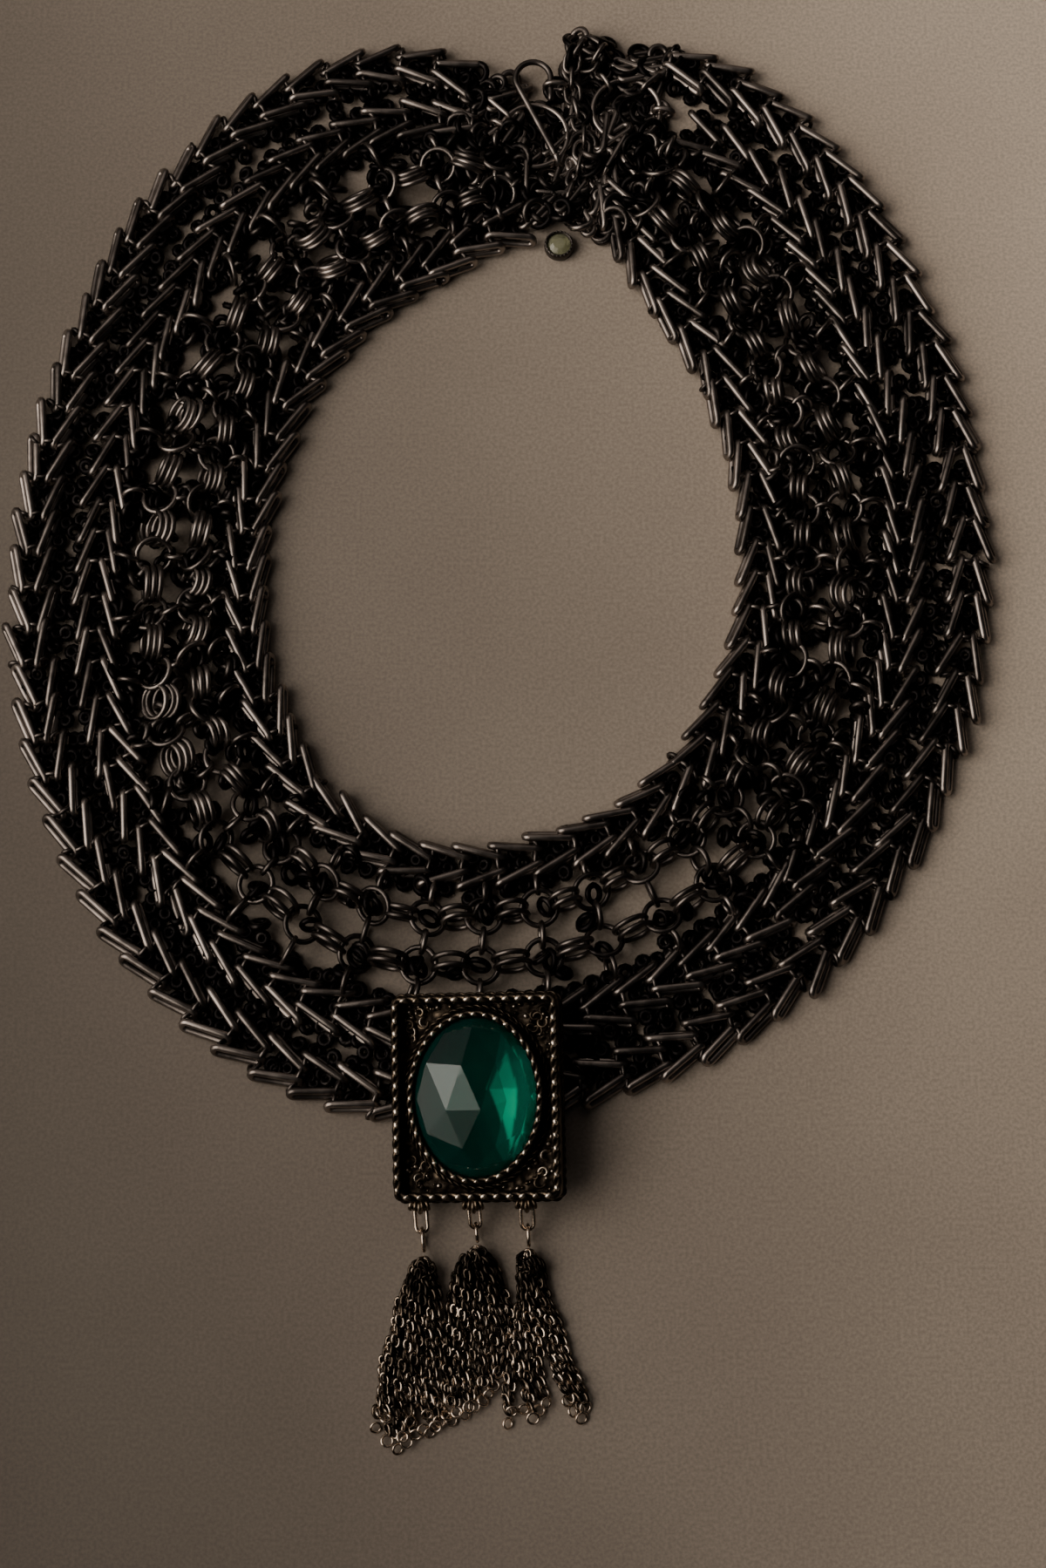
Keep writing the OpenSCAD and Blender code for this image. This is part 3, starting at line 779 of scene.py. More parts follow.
GUNMETAL = Metal("gunmetal_plating", (0.009, 0.008, 0.008, 1), (0.12, 0.105, 0.096, 1),
                 (0.36, 0.315, 0.285, 1), 0.30, 0.42, 260.0, 2600.0, 0.00001)
OLD_GOLD = Metal("antique_gilt", (0.026, 0.020, 0.015, 1), (0.17, 0.13, 0.09, 1),
                 (1.0, 0.86, 0.70, 1), 0.26, 0.50, 420.0, 3800.0, 0.00004)
TASSEL_METAL = Metal("tassel_chain_metal", (0.009, 0.007, 0.006, 1), (0.10, 0.078, 0.058, 1),
                     (0.95, 0.78, 0.62, 1), 0.18, 0.42, 420.0, 3800.0, 0.00003)
GREEN_GLASS = CutGlass("green_cut_glass", (0.05, 0.84, 0.70, 1), 0.26, 0.02, 0.95)
PALE_GLASS = CutGlass("pale_cut_glass", (0.62, 0.63, 0.42, 1), 1.0, 0.03, 0.7)
GREEN_FOIL = Foil("green_foil", (0.11, 0.96, 0.78, 1), 0.06)
PALE_FOIL = Foil("pale_foil", (0.36, 0.34, 0.19, 1), 0.5)


@dataclass(kw_only=True)
class Assembly:
    """Sub-assembly with its metal and its source of small differences."""

    metal: Material
    seed: int = 0

    def __post_init__(self) -> None:
        """Starts the source of the small differences."""
        self.rng = np.random.default_rng(self.seed)


@dataclass(kw_only=True)
class FishboneStrand(Assembly):
    """Strand of paired long links with the small rings that join them.

    The lean of a link lays its lower wire outward from the strand. A joining ring is given by its
    outer diameter, wire and rise. The rows of fill hold how far along and across the strand a low
    ring lies, and its outer diameter.
    """

    name: str
    column: Column
    pairs: int
    sectors: int
    sense: int
    inner_lean: float
    outer_lean: float
    fill_sides: tuple[int, ...]
    link_len: float = 12.2
    link_width: float = 3.9
    link_wire: float = 1.62
    link_angle: float = 17.0
    link_rise: float = 0.6
    pair_gap: float = 1.5
    drift: float = 0.35
    heading_spread: float = 1.2
    yaw_spread: float = 2.6
    fall_spread: float = 1.5
    lean_spread: float = 6.0
    lean_limits: Pair = (4, 60)
    link_tone: float = 0.86
    link_tone_spread: float = 0.14
    joint_ahead: float = 4.1
    middle_ring: Triple = (4.4, 1.0, 2.25)
    middle_spread: float = 9.0
    middle_tone: Pair = (0.3, 0.7)
    side_ring: Triple = (3.8, 1.0, 1.95)
    side_ring_out: float = 2.9
    side_ring_yaw: float = 14.0
    side_spread: Pair = (12.0, 14.0)
    side_drift: float = 0.15
    side_tone: Pair = (0.2, 0.55)
    inner_fill: tuple = ((-2.7, 0.0, 3.9), (1.3, 0.0, 3.8), (-0.7, 1.9, 3.7), (-0.7, -1.9, 3.7))
    outer_fill: tuple = ((-3.1, 6.1, 3.9), (0.9, 5.3, 4.0), (-1.2, 4.1, 3.8))
    fill_wire: float = 1.6
    fill_drift: float = 0.4
    fill_tilt: float = 20.0
    fill_limit: float = 30.0
    fill_lift: float = 0.3
    fill_sizes: Pair = (0.92, 1.06)
    fill_tone: Pair = (-0.15, 0.0)

    def build(self) -> None:
        """Makes one piece for each sector of the strand."""
        rng, pairs = self.rng, self.pairs
        a = even_directions(self.column, pairs)
        ahead = heading(strand_point(self.column, a + 0.5) - strand_point(self.column, a - 0.5))
        ahead = ahead + (0 if self.sense > 0 else 180) + rng.normal(0, self.heading_spread, pairs)
        spot = strand_point(self.column, a) + rng.normal(0, self.drift, (pairs, 2))
        ground = np.column_stack([spot, np.zeros(pairs)])
        noise = rng.normal(0, 1, (pairs, 2, 4))
        link = oval_link(self.link_len, self.link_width, self.link_wire, sides=10, bend_steps=7)
        core, bar = self.link_len - self.link_wire, self.link_width - self.link_wire
        out = self.pair_gap + core / 2 * np.sin(np.radians(self.link_angle))
        for k in range(1, self.sectors + 1):
            here = sector_places(k, pairs, self.sectors)
            self.body = Joined(f"{self.name}_{k}_links")
            base, turn = ground[here], spin(Axis.Z, ahead[here])
            for side in (-1, 1):
                luck = noise[here, (side + 1) // 2]
                lean = self.inner_lean if side == self.sense else self.outer_lean
                lean = np.clip(lean + self.lean_spread * luck[:, 0], *self.lean_limits)
                yaw = -side * self.link_angle + self.yaw_spread * luck[:, 1]
                pose = (turn @ spin(Axis.Z, yaw) @ spin(Axis.Y, self.fall_spread * luck[:, 2])
                        @ spin(Axis.X, side * lean))
                rise = bar / 2 * np.cos(np.radians(lean)) + self.link_wire / 2 + self.link_rise
                local = np.stack([0 * rise, side * out + 0 * rise, rise], 1)
                tone = self.link_tone + self.link_tone_spread * luck[:, 3]
                self.body.add(link, pose, base + turned(turn, local), tone, on_floor=True)
            self.join(base, turn)
            self.crowd(base, turn)
            self.body.piece([f"{self.name}_{k}"], Slot.GUNMETAL, self.metal)

    def join(self, base: Array, turn: Array) -> None:
        """Adds the ring across each pair and the two rings beside it.

        Args:
            base: Middle of each pair on the floor.
            turn: Heading of each pair.
        """
        rng, count = self.rng, len(base)
        od, thick, rise = self.middle_ring
        across = (turn @ spin(Axis.Z, rng.normal(0, self.middle_spread, count))
                  @ spin(Axis.Y, 90 + rng.normal(0, self.middle_spread, count)))
        where = base + turned(turn, np.array([self.joint_ahead, 0.0, rise]))
        # Painted shade: the ring across each pair is given a low tone, darker than the links.
        self.body.add_rings(across, where, od, thick, steps=16, sides=8, tone=rng.uniform(*self.middle_tone, count))
        od, thick, rise = self.side_ring
        for side in (-1, 1):
            across = (turn @ spin(Axis.Z, side * self.side_ring_yaw + rng.normal(0, self.side_spread[0], count))
                      @ spin(Axis.Y, 90 + rng.normal(0, self.side_spread[1], count)))
            local = np.array([self.joint_ahead + 0.1, side * self.side_ring_out, rise])
            where = base + turned(turn, local) + rng.normal(0, self.side_drift, (count, 3))
            # Painted shade: the rings beside each pair are given a low tone, darker than the links.
            self.body.add_rings(across, where, od, thick, steps=12, sides=7, tone=rng.uniform(*self.side_tone, count))

    def crowd(self, base: Array, turn: Array) -> None:
        """Adds the low rings that crowd the gaps between the long links, coloured near black as painted shade.

        Args:
            base: Middle of each pair on the floor.
            turn: Heading of each pair.
        """
        rng, count = self.rng, len(base)
        rows = list(self.inner_fill)
        for side in self.fill_sides:
            rows += [(along, side * self.sense * across, od) for along, across, od in self.outer_fill]
        for along, across, od in rows:
            local = np.array([along, across, 0.0]) + rng.normal(0, self.fill_drift, (count, 3)) * [1, 1, 0]
            slope = np.clip(rng.normal(0, self.fill_tilt, count), -self.fill_limit, self.fill_limit)
            lift = od / 2 * np.abs(np.sin(np.radians(slope))) + self.fill_wire / 2
            local[:, 2] = lift + rng.uniform(0.0, self.fill_lift, count)
            pose = turn @ spin(Axis.Z, rng.uniform(0, 180, count)) @ spin(Axis.X, slope)
            sizes = od * rng.uniform(*self.fill_sizes, count)
            # Near-black tone: painted shade in the gaps between the long links.
            self.body.add_rings(pose, base + turned(turn, local), sizes, self.fill_wire, steps=10, sides=5,
                                tone=rng.uniform(*self.fill_tone, count))


@dataclass(kw_only=True)
class RingMesh(Assembly):
    """Two rows of flat rings joined by standing rings, with rings that reach to the strands.

    A place is calm at 0, at the front, and loose at 1; the rings' tone is lower at the front, a painted shade, and
    higher at the sides, a painted highlight.
    """

    seed: int = 11
    sectors: int = 8
    columns: int = 39
    front: float = 360.0
    calm_half: float = 25.0
    calm_ease: float = 35.0
    drift: float = 0.3
    ring_od: float = 8.8
    ring_wire: float = 1.2
    ring_rise: float = 3.9
    rise_spread: float = 0.35
    ring_tone: Pair = (0.6, 1.05)
    calm_tilt: float = 17.0
    loose_tilt: float = 20.0
    knot_od: Pair = (4.4, 5.8)
    knot_wire: float = 1.35
    knot_slope: Pair = (44, 74)
    knot_share: float = 0.8
    knot_lifts: Pair = (0.0, 0.9)
    knot_drift: float = 0.7
    knot_half: float = 2.6
    knot_low: float = 0.8
    knot_tone: Pair = (-0.2, 0.2)
    twin_gap: float = 1.95
    twin_wire: float = 1.25
    twin_limits: Pair = (4.6, 8.6)
    three_from: float = 0.5
    three_share: float = 0.66
    twin_lean: Pair = (9.0, 5.0)
    twin_spread: float = 2.5
    twin_tone: Pair = (0.55, 1.0)
    reach_lean: Pair = (10.0, 12.0)
    reach_limits: Pair = (4.4, 8.5)
    grip: float = 0.1
    reach_in: float = 2.6
    strand_half: float = 3.6
    crowd_count: int = 21
    front_count: int = 2
    crowd_od: Pair = (4.0, 5.6)
    crowd_wire: float = 1.6
    crowd_slope: Pair = (42, 72)
    crowd_aside: float = 5.6
    crowd_lift: Pair = (0.5, 0.9)
    sides: int = 8

    def build(self) -> None:
        """Makes one piece for each sector of the mesh."""
        a = even_directions(Column.OUTER_ROW, self.columns)
        calm = np.clip((np.abs(a - self.front) - self.calm_half) / self.calm_ease, 0, 1)
        inner, outer, neck, second = (strand_point(column, a) for column in (
            Column.INNER_ROW, Column.OUTER_ROW, Column.NECK, Column.SECOND))
        inner, outer = (row + self.rng.normal(0, self.drift, row.shape) * (0.4 + calm[:, None])
                        for row in (inner, outer))
        for k in range(1, self.sectors + 1):
            i = sector_places(k, self.columns, self.sectors)
            pair = i[i + 1 < self.columns]
            self.body = Joined(f"ring_mesh_{k}_rings")
            for row in (inner, outer):
                self.flat_rings(row[i], calm[i])
                self.standing_rings(row[pair], row[pair + 1], True, calm[pair])
            self.standing_rings(inner[i], outer[i], False, calm[i])
            self.reaching_rings(inner[i], neck[i], calm[i])
            self.reaching_rings(outer[i], second[i], calm[i])
            self.crowd(neck[i], second[i], calm[i])
            self.body.piece([f"ring_mesh_{k}"], Slot.GUNMETAL, self.metal)

    def flat_rings(self, spots: Array, calm: Array) -> None:
        """Adds the lying rings of one row, darker at the front as painted shade, and the dark small rings that fill
        their middles as painted shade.

        Args:
            spots: Middles of the rings.
            calm: How loose each place is.
        """
        rng, count = self.rng, len(spots)
        spread = self.calm_tilt + (self.loose_tilt - self.calm_tilt) * calm
        tilt = spin(Axis.X, rng.normal(0, 1, count) * spread) @ spin(Axis.Y, rng.normal(0, 1, count) * spread)
        where = np.column_stack([spots, self.ring_rise + rng.normal(0, self.rise_spread, count)])
        # Painted shade at the front and painted highlight at the sides: the tone rises with looseness.
        self.body.add_rings(tilt, where, self.ring_od, self.ring_wire, steps=22, sides=self.sides,
                            tone=rng.uniform(*self.ring_tone, count) * (0.42 + 0.48 * calm))
        for lift in self.knot_lifts:
            knot = rng.uniform(0, 1, count) < self.knot_share
            number = int(knot.sum())
            slope = rng.uniform(*self.knot_slope, number)
            pose = spin(Axis.Z, rng.uniform(0, 360, number)) @ spin(Axis.X, slope)
            spot = where[knot] + rng.normal(0, self.knot_drift, (number, 3)) * [1, 1, 0]
            spot[:, 2] = self.knot_half * np.sin(np.radians(slope)) + self.knot_low + lift
            # Dark knots in the middles of the flat rings: painted shade where the floor would show through.
            self.body.add_rings(pose, spot, rng.uniform(*self.knot_od, number), self.knot_wire, steps=14, sides=6,
                                tone=rng.uniform(*self.knot_tone, number))

    def standing_rings(self, start: Array, stop: Array, several: bool, calm: Array) -> None:
        """Adds rings on edge that join flat rings.

        Args:
            start: Middles of the first flat rings.
            stop: Middles of the second flat rings.
            several: Whether two rings side by side join each pair, or three where it is loose.
            calm: How loose each place is.
        """
        rng, count = self.rng, len(start)
        d = stop - start
        od = np.linalg.norm(d, axis=1) - self.ring_od + 4 * self.ring_wire - 2 * self.grip
        od = np.clip(od, *self.twin_limits)
        turn = spin(Axis.Z, heading(d) + rng.normal(0, self.twin_spread, count) * (1 + 3 * calm))
        lean = rng.normal(*self.twin_lean, count) + 15 * calm * rng.normal(1, 0.8, count)
        middle = np.column_stack([(start + stop) / 2, np.zeros(count)])
        three = calm > self.three_from
        half = np.where(three, self.three_share, 0.5) * self.twin_gap
        for side in (-1, 0, 1) if several else (0,):
            here = three if several and side == 0 else np.ones(count, bool)
            number = int(here.sum())
            if number == 0:
                continue
            pose = turn[here] @ spin(Axis.X, 90 - lean[here] + rng.normal(0, self.twin_spread, number))
            local = np.column_stack([rng.normal(0, 0.2, number), side * half[here],
                                     np.full(number, self.ring_rise - 0.2)])
            # Painted shade at the front and painted highlight at the sides: the tone rises with looseness.
            self.body.add_rings(pose, middle[here] + turned(turn[here], local), od[here], self.twin_wire, steps=20,
                                sides=self.sides,
                                tone=rng.uniform(*self.twin_tone, number) * (0.72 + 0.33 * calm[here]))

    def reaching_rings(self, start: Array, strand: Array, calm: Array) -> None:
        """Adds a ring on edge from each flat ring to a strand.

        Args:
            start: Middles of the flat rings.
            strand: Points of the strand beside them.
            calm: How loose each place is.
        """
        rng, count = self.rng, len(start)
        d = strand - start
        span = np.linalg.norm(d, axis=1)
        od = np.clip(span - self.strand_half - self.reach_in, *self.reach_limits)
        turn = spin(Axis.Z, heading(d) + rng.normal(0, 4, count) * (1 + 3 * calm))
        pose = turn @ spin(Axis.X, 90 - rng.normal(*self.reach_lean, count))
        middle = start + d / span[:, None] * (self.reach_in + od / 2)[:, None]
        where = np.column_stack([middle, np.full(count, self.ring_rise - 0.3)])
        # Tone a little lower at the front: painted shade.
        self.body.add_rings(pose, where, od, self.twin_wire * 0.93, steps=20, sides=self.sides,
                            tone=rng.uniform(*self.ring_tone, count) * (0.8 + 0.05 * calm))

    def crowd(self, neck: Array, second: Array, calm: Array) -> None:
        """Adds the loose, nearly black rings that crowd the mesh as painted shade, few of them at the front.

        Args:
            neck: Points of the neck strand beside each column.
            second: Points of the second strand beside each column.
            calm: How loose each place is.
        """
        rng = self.rng
        for start, stop, loose in zip(neck, second, calm):
            count = int(round(self.front_count + (self.crowd_count - self.front_count) * loose))
            share = (0.12 + 0.76 * (np.arange(count) + rng.uniform(0, 1, count)) / count)[:, None]
            d = (stop - start) / np.linalg.norm(stop - start)
            aside = np.array([-d[1], d[0]]) * rng.uniform(-self.crowd_aside, self.crowd_aside, (count, 1))
            od = rng.uniform(*self.crowd_od, count)
            slope = rng.uniform(*self.crowd_slope, count) * rng.choice([-1, 1], count)
            rise = od / 2 * np.abs(np.sin(np.radians(slope))) + rng.uniform(*self.crowd_lift, count)
            where = np.column_stack([start + share * (stop - start) + aside, rise])
            pose = spin(Axis.Z, rng.uniform(0, 180, count)) @ spin(Axis.X, slope)
            # Near-black tone, a little lighter where the mesh is loose: painted shade between the rings.
            self.body.add_rings(pose, where, od, self.crowd_wire, steps=12, sides=6,
                                tone=rng.uniform(-0.2, 0.02 + 0.35 * loose, count))


@dataclass(kw_only=True)
class Clasp(Assembly):
    """Large end rings, the links that hold them, the hook and the extension chain.

    The rows of rings hold the side and the middle (x, y) of a large ring. The rows of ends hold
    the start (x, y) of a link, and the direction in which it meets its ring.
    """

    rise: float = 2.6
    ring_od: float = 16.6
    ring_wire: float = 1.2
    ring_seam: float = 8.0
    ring_tone: float = 1.25
    rings: tuple = (("left", 6.9, 131.8), ("right", 28.1, 138.2))
    ends: tuple = (((-4.2, 141.2, 142.0), (-3.2, 135.6, 163.0), (5.2, 116.0, 258.0)),
                   ((22.6, 121.6, 265.0), (39.4, 137.4, 358.0), (36.4, 147.4, 52.0)))
    link_wire: float = 1.2
    link_width: float = 4.2
    slack: float = 0.25
    hook_at: Triple = (6.8, 145.5, 4.15)
    hook_wire: float = 1.4
    hook_tone: float = 0.6
    hook_bend: float = 4.0
    hook_tip: float = 5.0
    hook_eye: float = 1.7
    eye_turn: Pair = (-4, 268)
    shank_len: float = 19.7
    shank_turn: float = 26.4
    chain_wire: float = 1.1
    chain_len: float = 6.0
    chain_width: float = 4.5
    chain_bite: float = 0.2
    catch_at: Triple = (11.9, 143.6, 3.9)
    route: tuple = (
        (24.9, 142.7, 2.6), (22.4, 146.4, 2.6), (23.6, 150.4, 2.6), (20.8, 153.6, 2.6), (17.2, 151.6, 2.8),
        (19.4, 148.6, 4.4), (22.4, 151.0, 6.0), (18.6, 153.6, 6.0), (15.8, 150.0, 4.4), (15.6, 145.0, 3.4),
        (16.2, 139.5, 2.5), (18.4, 132.0, 2.5), (17.2, 124.0, 2.5), (14.6, 116.0, 2.5), (12.9, 109.6, 2.5),
    )

    def build(self) -> None:
        """Makes the pieces of the clasp."""
        for side, x, y in self.rings:
            self.end_ring(side, x, y)
        for (side, x, y), ends in zip(self.rings, self.ends):
            self.end_links(side, np.array([x, y]), ends)
        self.hook()
        self.extension()

    def end_ring(self, side: str, x: float, y: float) -> None:
        """Makes one large ring with the faint seam of its closed wire.

        Args:
            side: Side of the collar.
            x: Place of its middle across.
            y: Place of its middle along.
        """
        body = Joined(f"end_ring_{side}_wire")
        r = (self.ring_od - self.ring_wire) / 2
        q = np.radians(np.linspace(self.ring_seam, 360 - self.ring_seam, 64))
        body.add(wire(arc(r, r, q), self.ring_wire, 14, closed=False), tone=self.ring_tone)
        seam = np.radians([1.5 - self.ring_seam, self.ring_seam - 1.5])
        body.add(wire(arc(r, r, seam), self.ring_wire * 0.97, 14, closed=False))
        body.move((x, y, self.rise)).piece([f"end_ring_{side}"], Slot.GUNMETAL, self.metal)

    def end_links(self, side: str, spot: Array, ends: tuple) -> None:
        """Makes the long links between the strands and a large ring.

        Args:
            side: Side of the collar.
            spot: Middle (x, y) of the ring.
            ends: The rows of its links.
        """
        body = Joined(f"end_links_{side}_wire")
        for x, y, direction in ends:
            q = np.radians(direction)
            stop = spot + (self.ring_od - self.ring_wire) / 2 * np.array([np.cos(q), np.sin(q)])
            d = stop - [x, y]
            length = np.linalg.norm(d) + self.ring_wire / 2 + self.link_wire + self.slack
            middle = [x, y] + d / np.linalg.norm(d) * length / 2
            link = oval_link(length, self.link_width, self.link_wire, sides=12, bend_steps=10)
            body.add(link, spin(Axis.Z, heading(d)), (*middle, self.rise))
        body.piece([f"end_links_{side}"], Slot.GUNMETAL, self.metal)

    def hook(self) -> None:
        """Makes the hook: a short tip, a round bend, a long shank and an eye."""
        r, q = self.hook_bend, np.radians(180 + self.shank_turn)
        tip = [[r, -self.hook_tip * (1 - t), 0.0] for t in np.linspace(0, 0.9, 5)]
        bend = arc(r, r, np.radians(np.linspace(0, 180 + self.shank_turn, 34)))
        out, along = np.array([np.cos(q), np.sin(q), 0.0]), np.array([-np.sin(q), np.cos(q), 0.0])
        shank = r * out + along * np.linspace(0.5, self.shank_len - 0.6, 12)[:, None]
        body = Joined("hook_wire")
        body.add(wire(np.concatenate([tip, bend, shank]), self.hook_wire, 14, closed=False), tone=self.hook_tone)
        w = np.radians(np.linspace(*self.eye_turn, 30))[:, None]
        middle = r * out + along * self.shank_len - self.hook_eye * UP
        eye = middle + self.hook_eye * (np.cos(w) * UP + np.sin(w) * along)
        body.add(wire(eye, self.hook_wire, 12, out, closed=False))
        body.move(self.hook_at).piece(["hook"], Slot.GUNMETAL, self.metal)

    def extension(self) -> None:
        """Makes the extension chain, whose links stand and lie by turns."""
        route = np.array(self.route)
        s = lengths(route)
        step = self.chain_len - 2 * self.chain_wire - self.chain_bite
        i = np.arange(int((s[-1] - self.chain_len) // step) + 1)
        before, middle, after = (places_at(self.chain_len / 2 + i * step + t, s, route) for t in (-1, 0, 1))
        link = oval_link(self.chain_len, self.chain_width, self.chain_wire, sides=12, bend_steps=9)
        body = Joined("extension_chain_links")
        body.add(link, pose_along(after - before, 90 * (i % 2)), middle, 0.6 + 0.25 * (i % 3 == 0))
        body.add(link, None, self.catch_at)
        body.piece(["extension_chain"], Slot.GUNMETAL, self.metal)


@dataclass(kw_only=True)
class GatheredEnds(Assembly):
    """Loose rings and long links that pile up where the ends of the strands are gathered.

    The rows of patches hold: the side, the middle and the half sizes of a patch, its rings, its
    long links with their heading, the greatest slope of a ring and the greatest height of a link.
    """

    seed: int = 31
    patches: tuple = (
        ("left", -3.0, 128.0, 8.0, 14.0, 42, 6, 60.0, 45.0, 3.0),
        ("left", -4.0, 143.0, 7.0, 6.0, 20, 4, 20.0, 30.0, 2.4),
        ("left", 8.0, 129.0, 9.0, 11.0, 44, 3, 58.0, 9.0, 1.2),
        ("left", 11.0, 115.0, 7.0, 6.0, 20, 5, 30.0, 45.0, 3.2),
        ("right", 21.0, 117.0, 6.0, 11.0, 28, 7, 100.0, 45.0, 3.2),
        ("right", 27.5, 138.0, 9.0, 9.5, 40, 4, 70.0, 9.0, 1.2),
        ("right", 16.5, 139.0, 5.0, 12.0, 26, 3, 85.0, 20.0, 1.6),
        ("right", 33.0, 125.0, 6.5, 8.0, 24, 4, -48.0, 50.0, 2.8),
        ("right", 33.0, 150.0, 7.0, 3.5, 14, 5, 2.0, 30.0, 3.0),
        ("top", 20.0, 151.5, 5.5, 5.0, 22, 0, 0.0, 80.0, 1.0),
    )
    clear_of: Triple = (12.6, 105.3, 6.5)
    ring_wire: float = 1.5
    ring_sizes: Pair = (4.4, 7.6)
    link_size: Triple = (12.2, 3.9, 1.5)
    link_spread: float = 22.0
    link_lean: Pair = (45, 88)
    ring_tone: float = 0.85
    ring_lift: Pair = (0.6, 1.1)
    link_tone: Pair = (0.7, 1.0)

    def build(self) -> None:
        """Makes one piece for each patch, beside the piece that stands for its node."""
        rng, link = self.rng, oval_link(*self.link_size, sides=10, bend_steps=7)
        for number, row in enumerate(self.patches, start=1):
            side, x, y, half_x, half_y, rings, links, ahead, slope, height = row
            body = Joined(f"gathered_{side}_{number}")
            where = self.spots((x, y), (half_x, half_y), rings)
            count = len(where)
            od, tilt = rng.uniform(*self.ring_sizes, count), rng.uniform(3, slope, count)
            rise = od / 2 * np.sin(np.radians(tilt)) + rng.uniform(*self.ring_lift, count)
            pose = spin(Axis.Z, rng.uniform(0, 360, count)) @ spin(Axis.X, tilt)
            body.add_rings(pose, np.column_stack([where, rise]), od, self.ring_wire, steps=18, sides=7,
                           tone=self.ring_tone * rng.uniform(0, 1, count) ** 3)
            if links:
                where = self.spots((x, y), (half_x * 0.8, half_y * 0.8), links)
                count = len(where)
                pose = (spin(Axis.Z, ahead + rng.normal(0, self.link_spread, count))
                        @ spin(Axis.Y, rng.normal(0, 5, count)) @ spin(Axis.X, rng.uniform(*self.link_lean, count)))
                rise = rng.uniform(1.0, height, count)
                body.add(link, pose, np.column_stack([where, rise]), rng.uniform(*self.link_tone, count),
                         on_floor=True)
            body.piece([], Slot.GUNMETAL, self.metal)

    def spots(self, middle: tuple[float, float], half: tuple[float, float], count: int) -> Array:
        """Places in an oval patch that stay clear of the drop.

        Args:
            middle: Middle of the patch.
            half: Half sizes of the patch.
            count: Places before those near the drop are left out.

        Returns:
            One point (x, y) for each place.
        """
        r = np.sqrt(self.rng.uniform(0, 1, count))
        q = self.rng.uniform(0, 2 * np.pi, count)
        where = np.array(middle) + np.array(half) * arc(r, r, q)[:, :2]
        return where[np.linalg.norm(where - self.clear_of[:2], axis=1) > self.clear_of[2]]


@dataclass(kw_only=True)
class Drop(Assembly):
    """Round drop with a pale cut stone at the end of the extension chain."""

    glass: Material
    foil: Material
    place: Triple = (12.6, 105.3, 0.02)
    od: float = 6.6
    depth: float = 2.6
    wall: float = 0.6
    grains: int = 22
    grain_od: float = 0.6
    facets: int = 9

    def build(self) -> None:
        """Makes the cup with its grained rim, and the stone on its foil."""
        r, depth, wall = self.od / 2, self.depth, self.wall
        profile = [(r - 0.5, 0.0), (r - 0.12, 0.1), (r, 0.45), (r, 1.7), (r - 0.1, 2.2), (r - 0.35, depth - 0.1),
                   (r - wall, depth - 0.25), (r - wall, 0.85), (0.4, 0.8)]
        cup, stone, back = (Joined(f"drop_{name}") for name in ("setting_cup", "stone_cut", "stone_foil"))
        cup.add(lathe(profile, sides=48), tone=0.3)
        turn = spin(Axis.Z, 360 * np.arange(self.grains) / self.grains)
        cup.add(ball(self.grain_od), turn, turned(turn, np.array([r - 0.3, 0.0, depth - 0.33])), 0.5)
        stone.add(rose_cut(r - 0.62, 0.95, 1.7, self.facets, 0.5))
        back.add(lathe([(r - 0.66, 0.9), (r * 0.5, 0.87), (0.02, 0.86)], sides=32))
        cup.move(self.place).piece(["drop_setting"], Slot.GUNMETAL, self.metal)
        stone.move(self.place).piece(["drop_stone"], Slot.PALE_STONE, self.glass, smooth=False)
        back.move(self.place).piece([], Slot.PALE_STONE, self.foil, smooth=False)


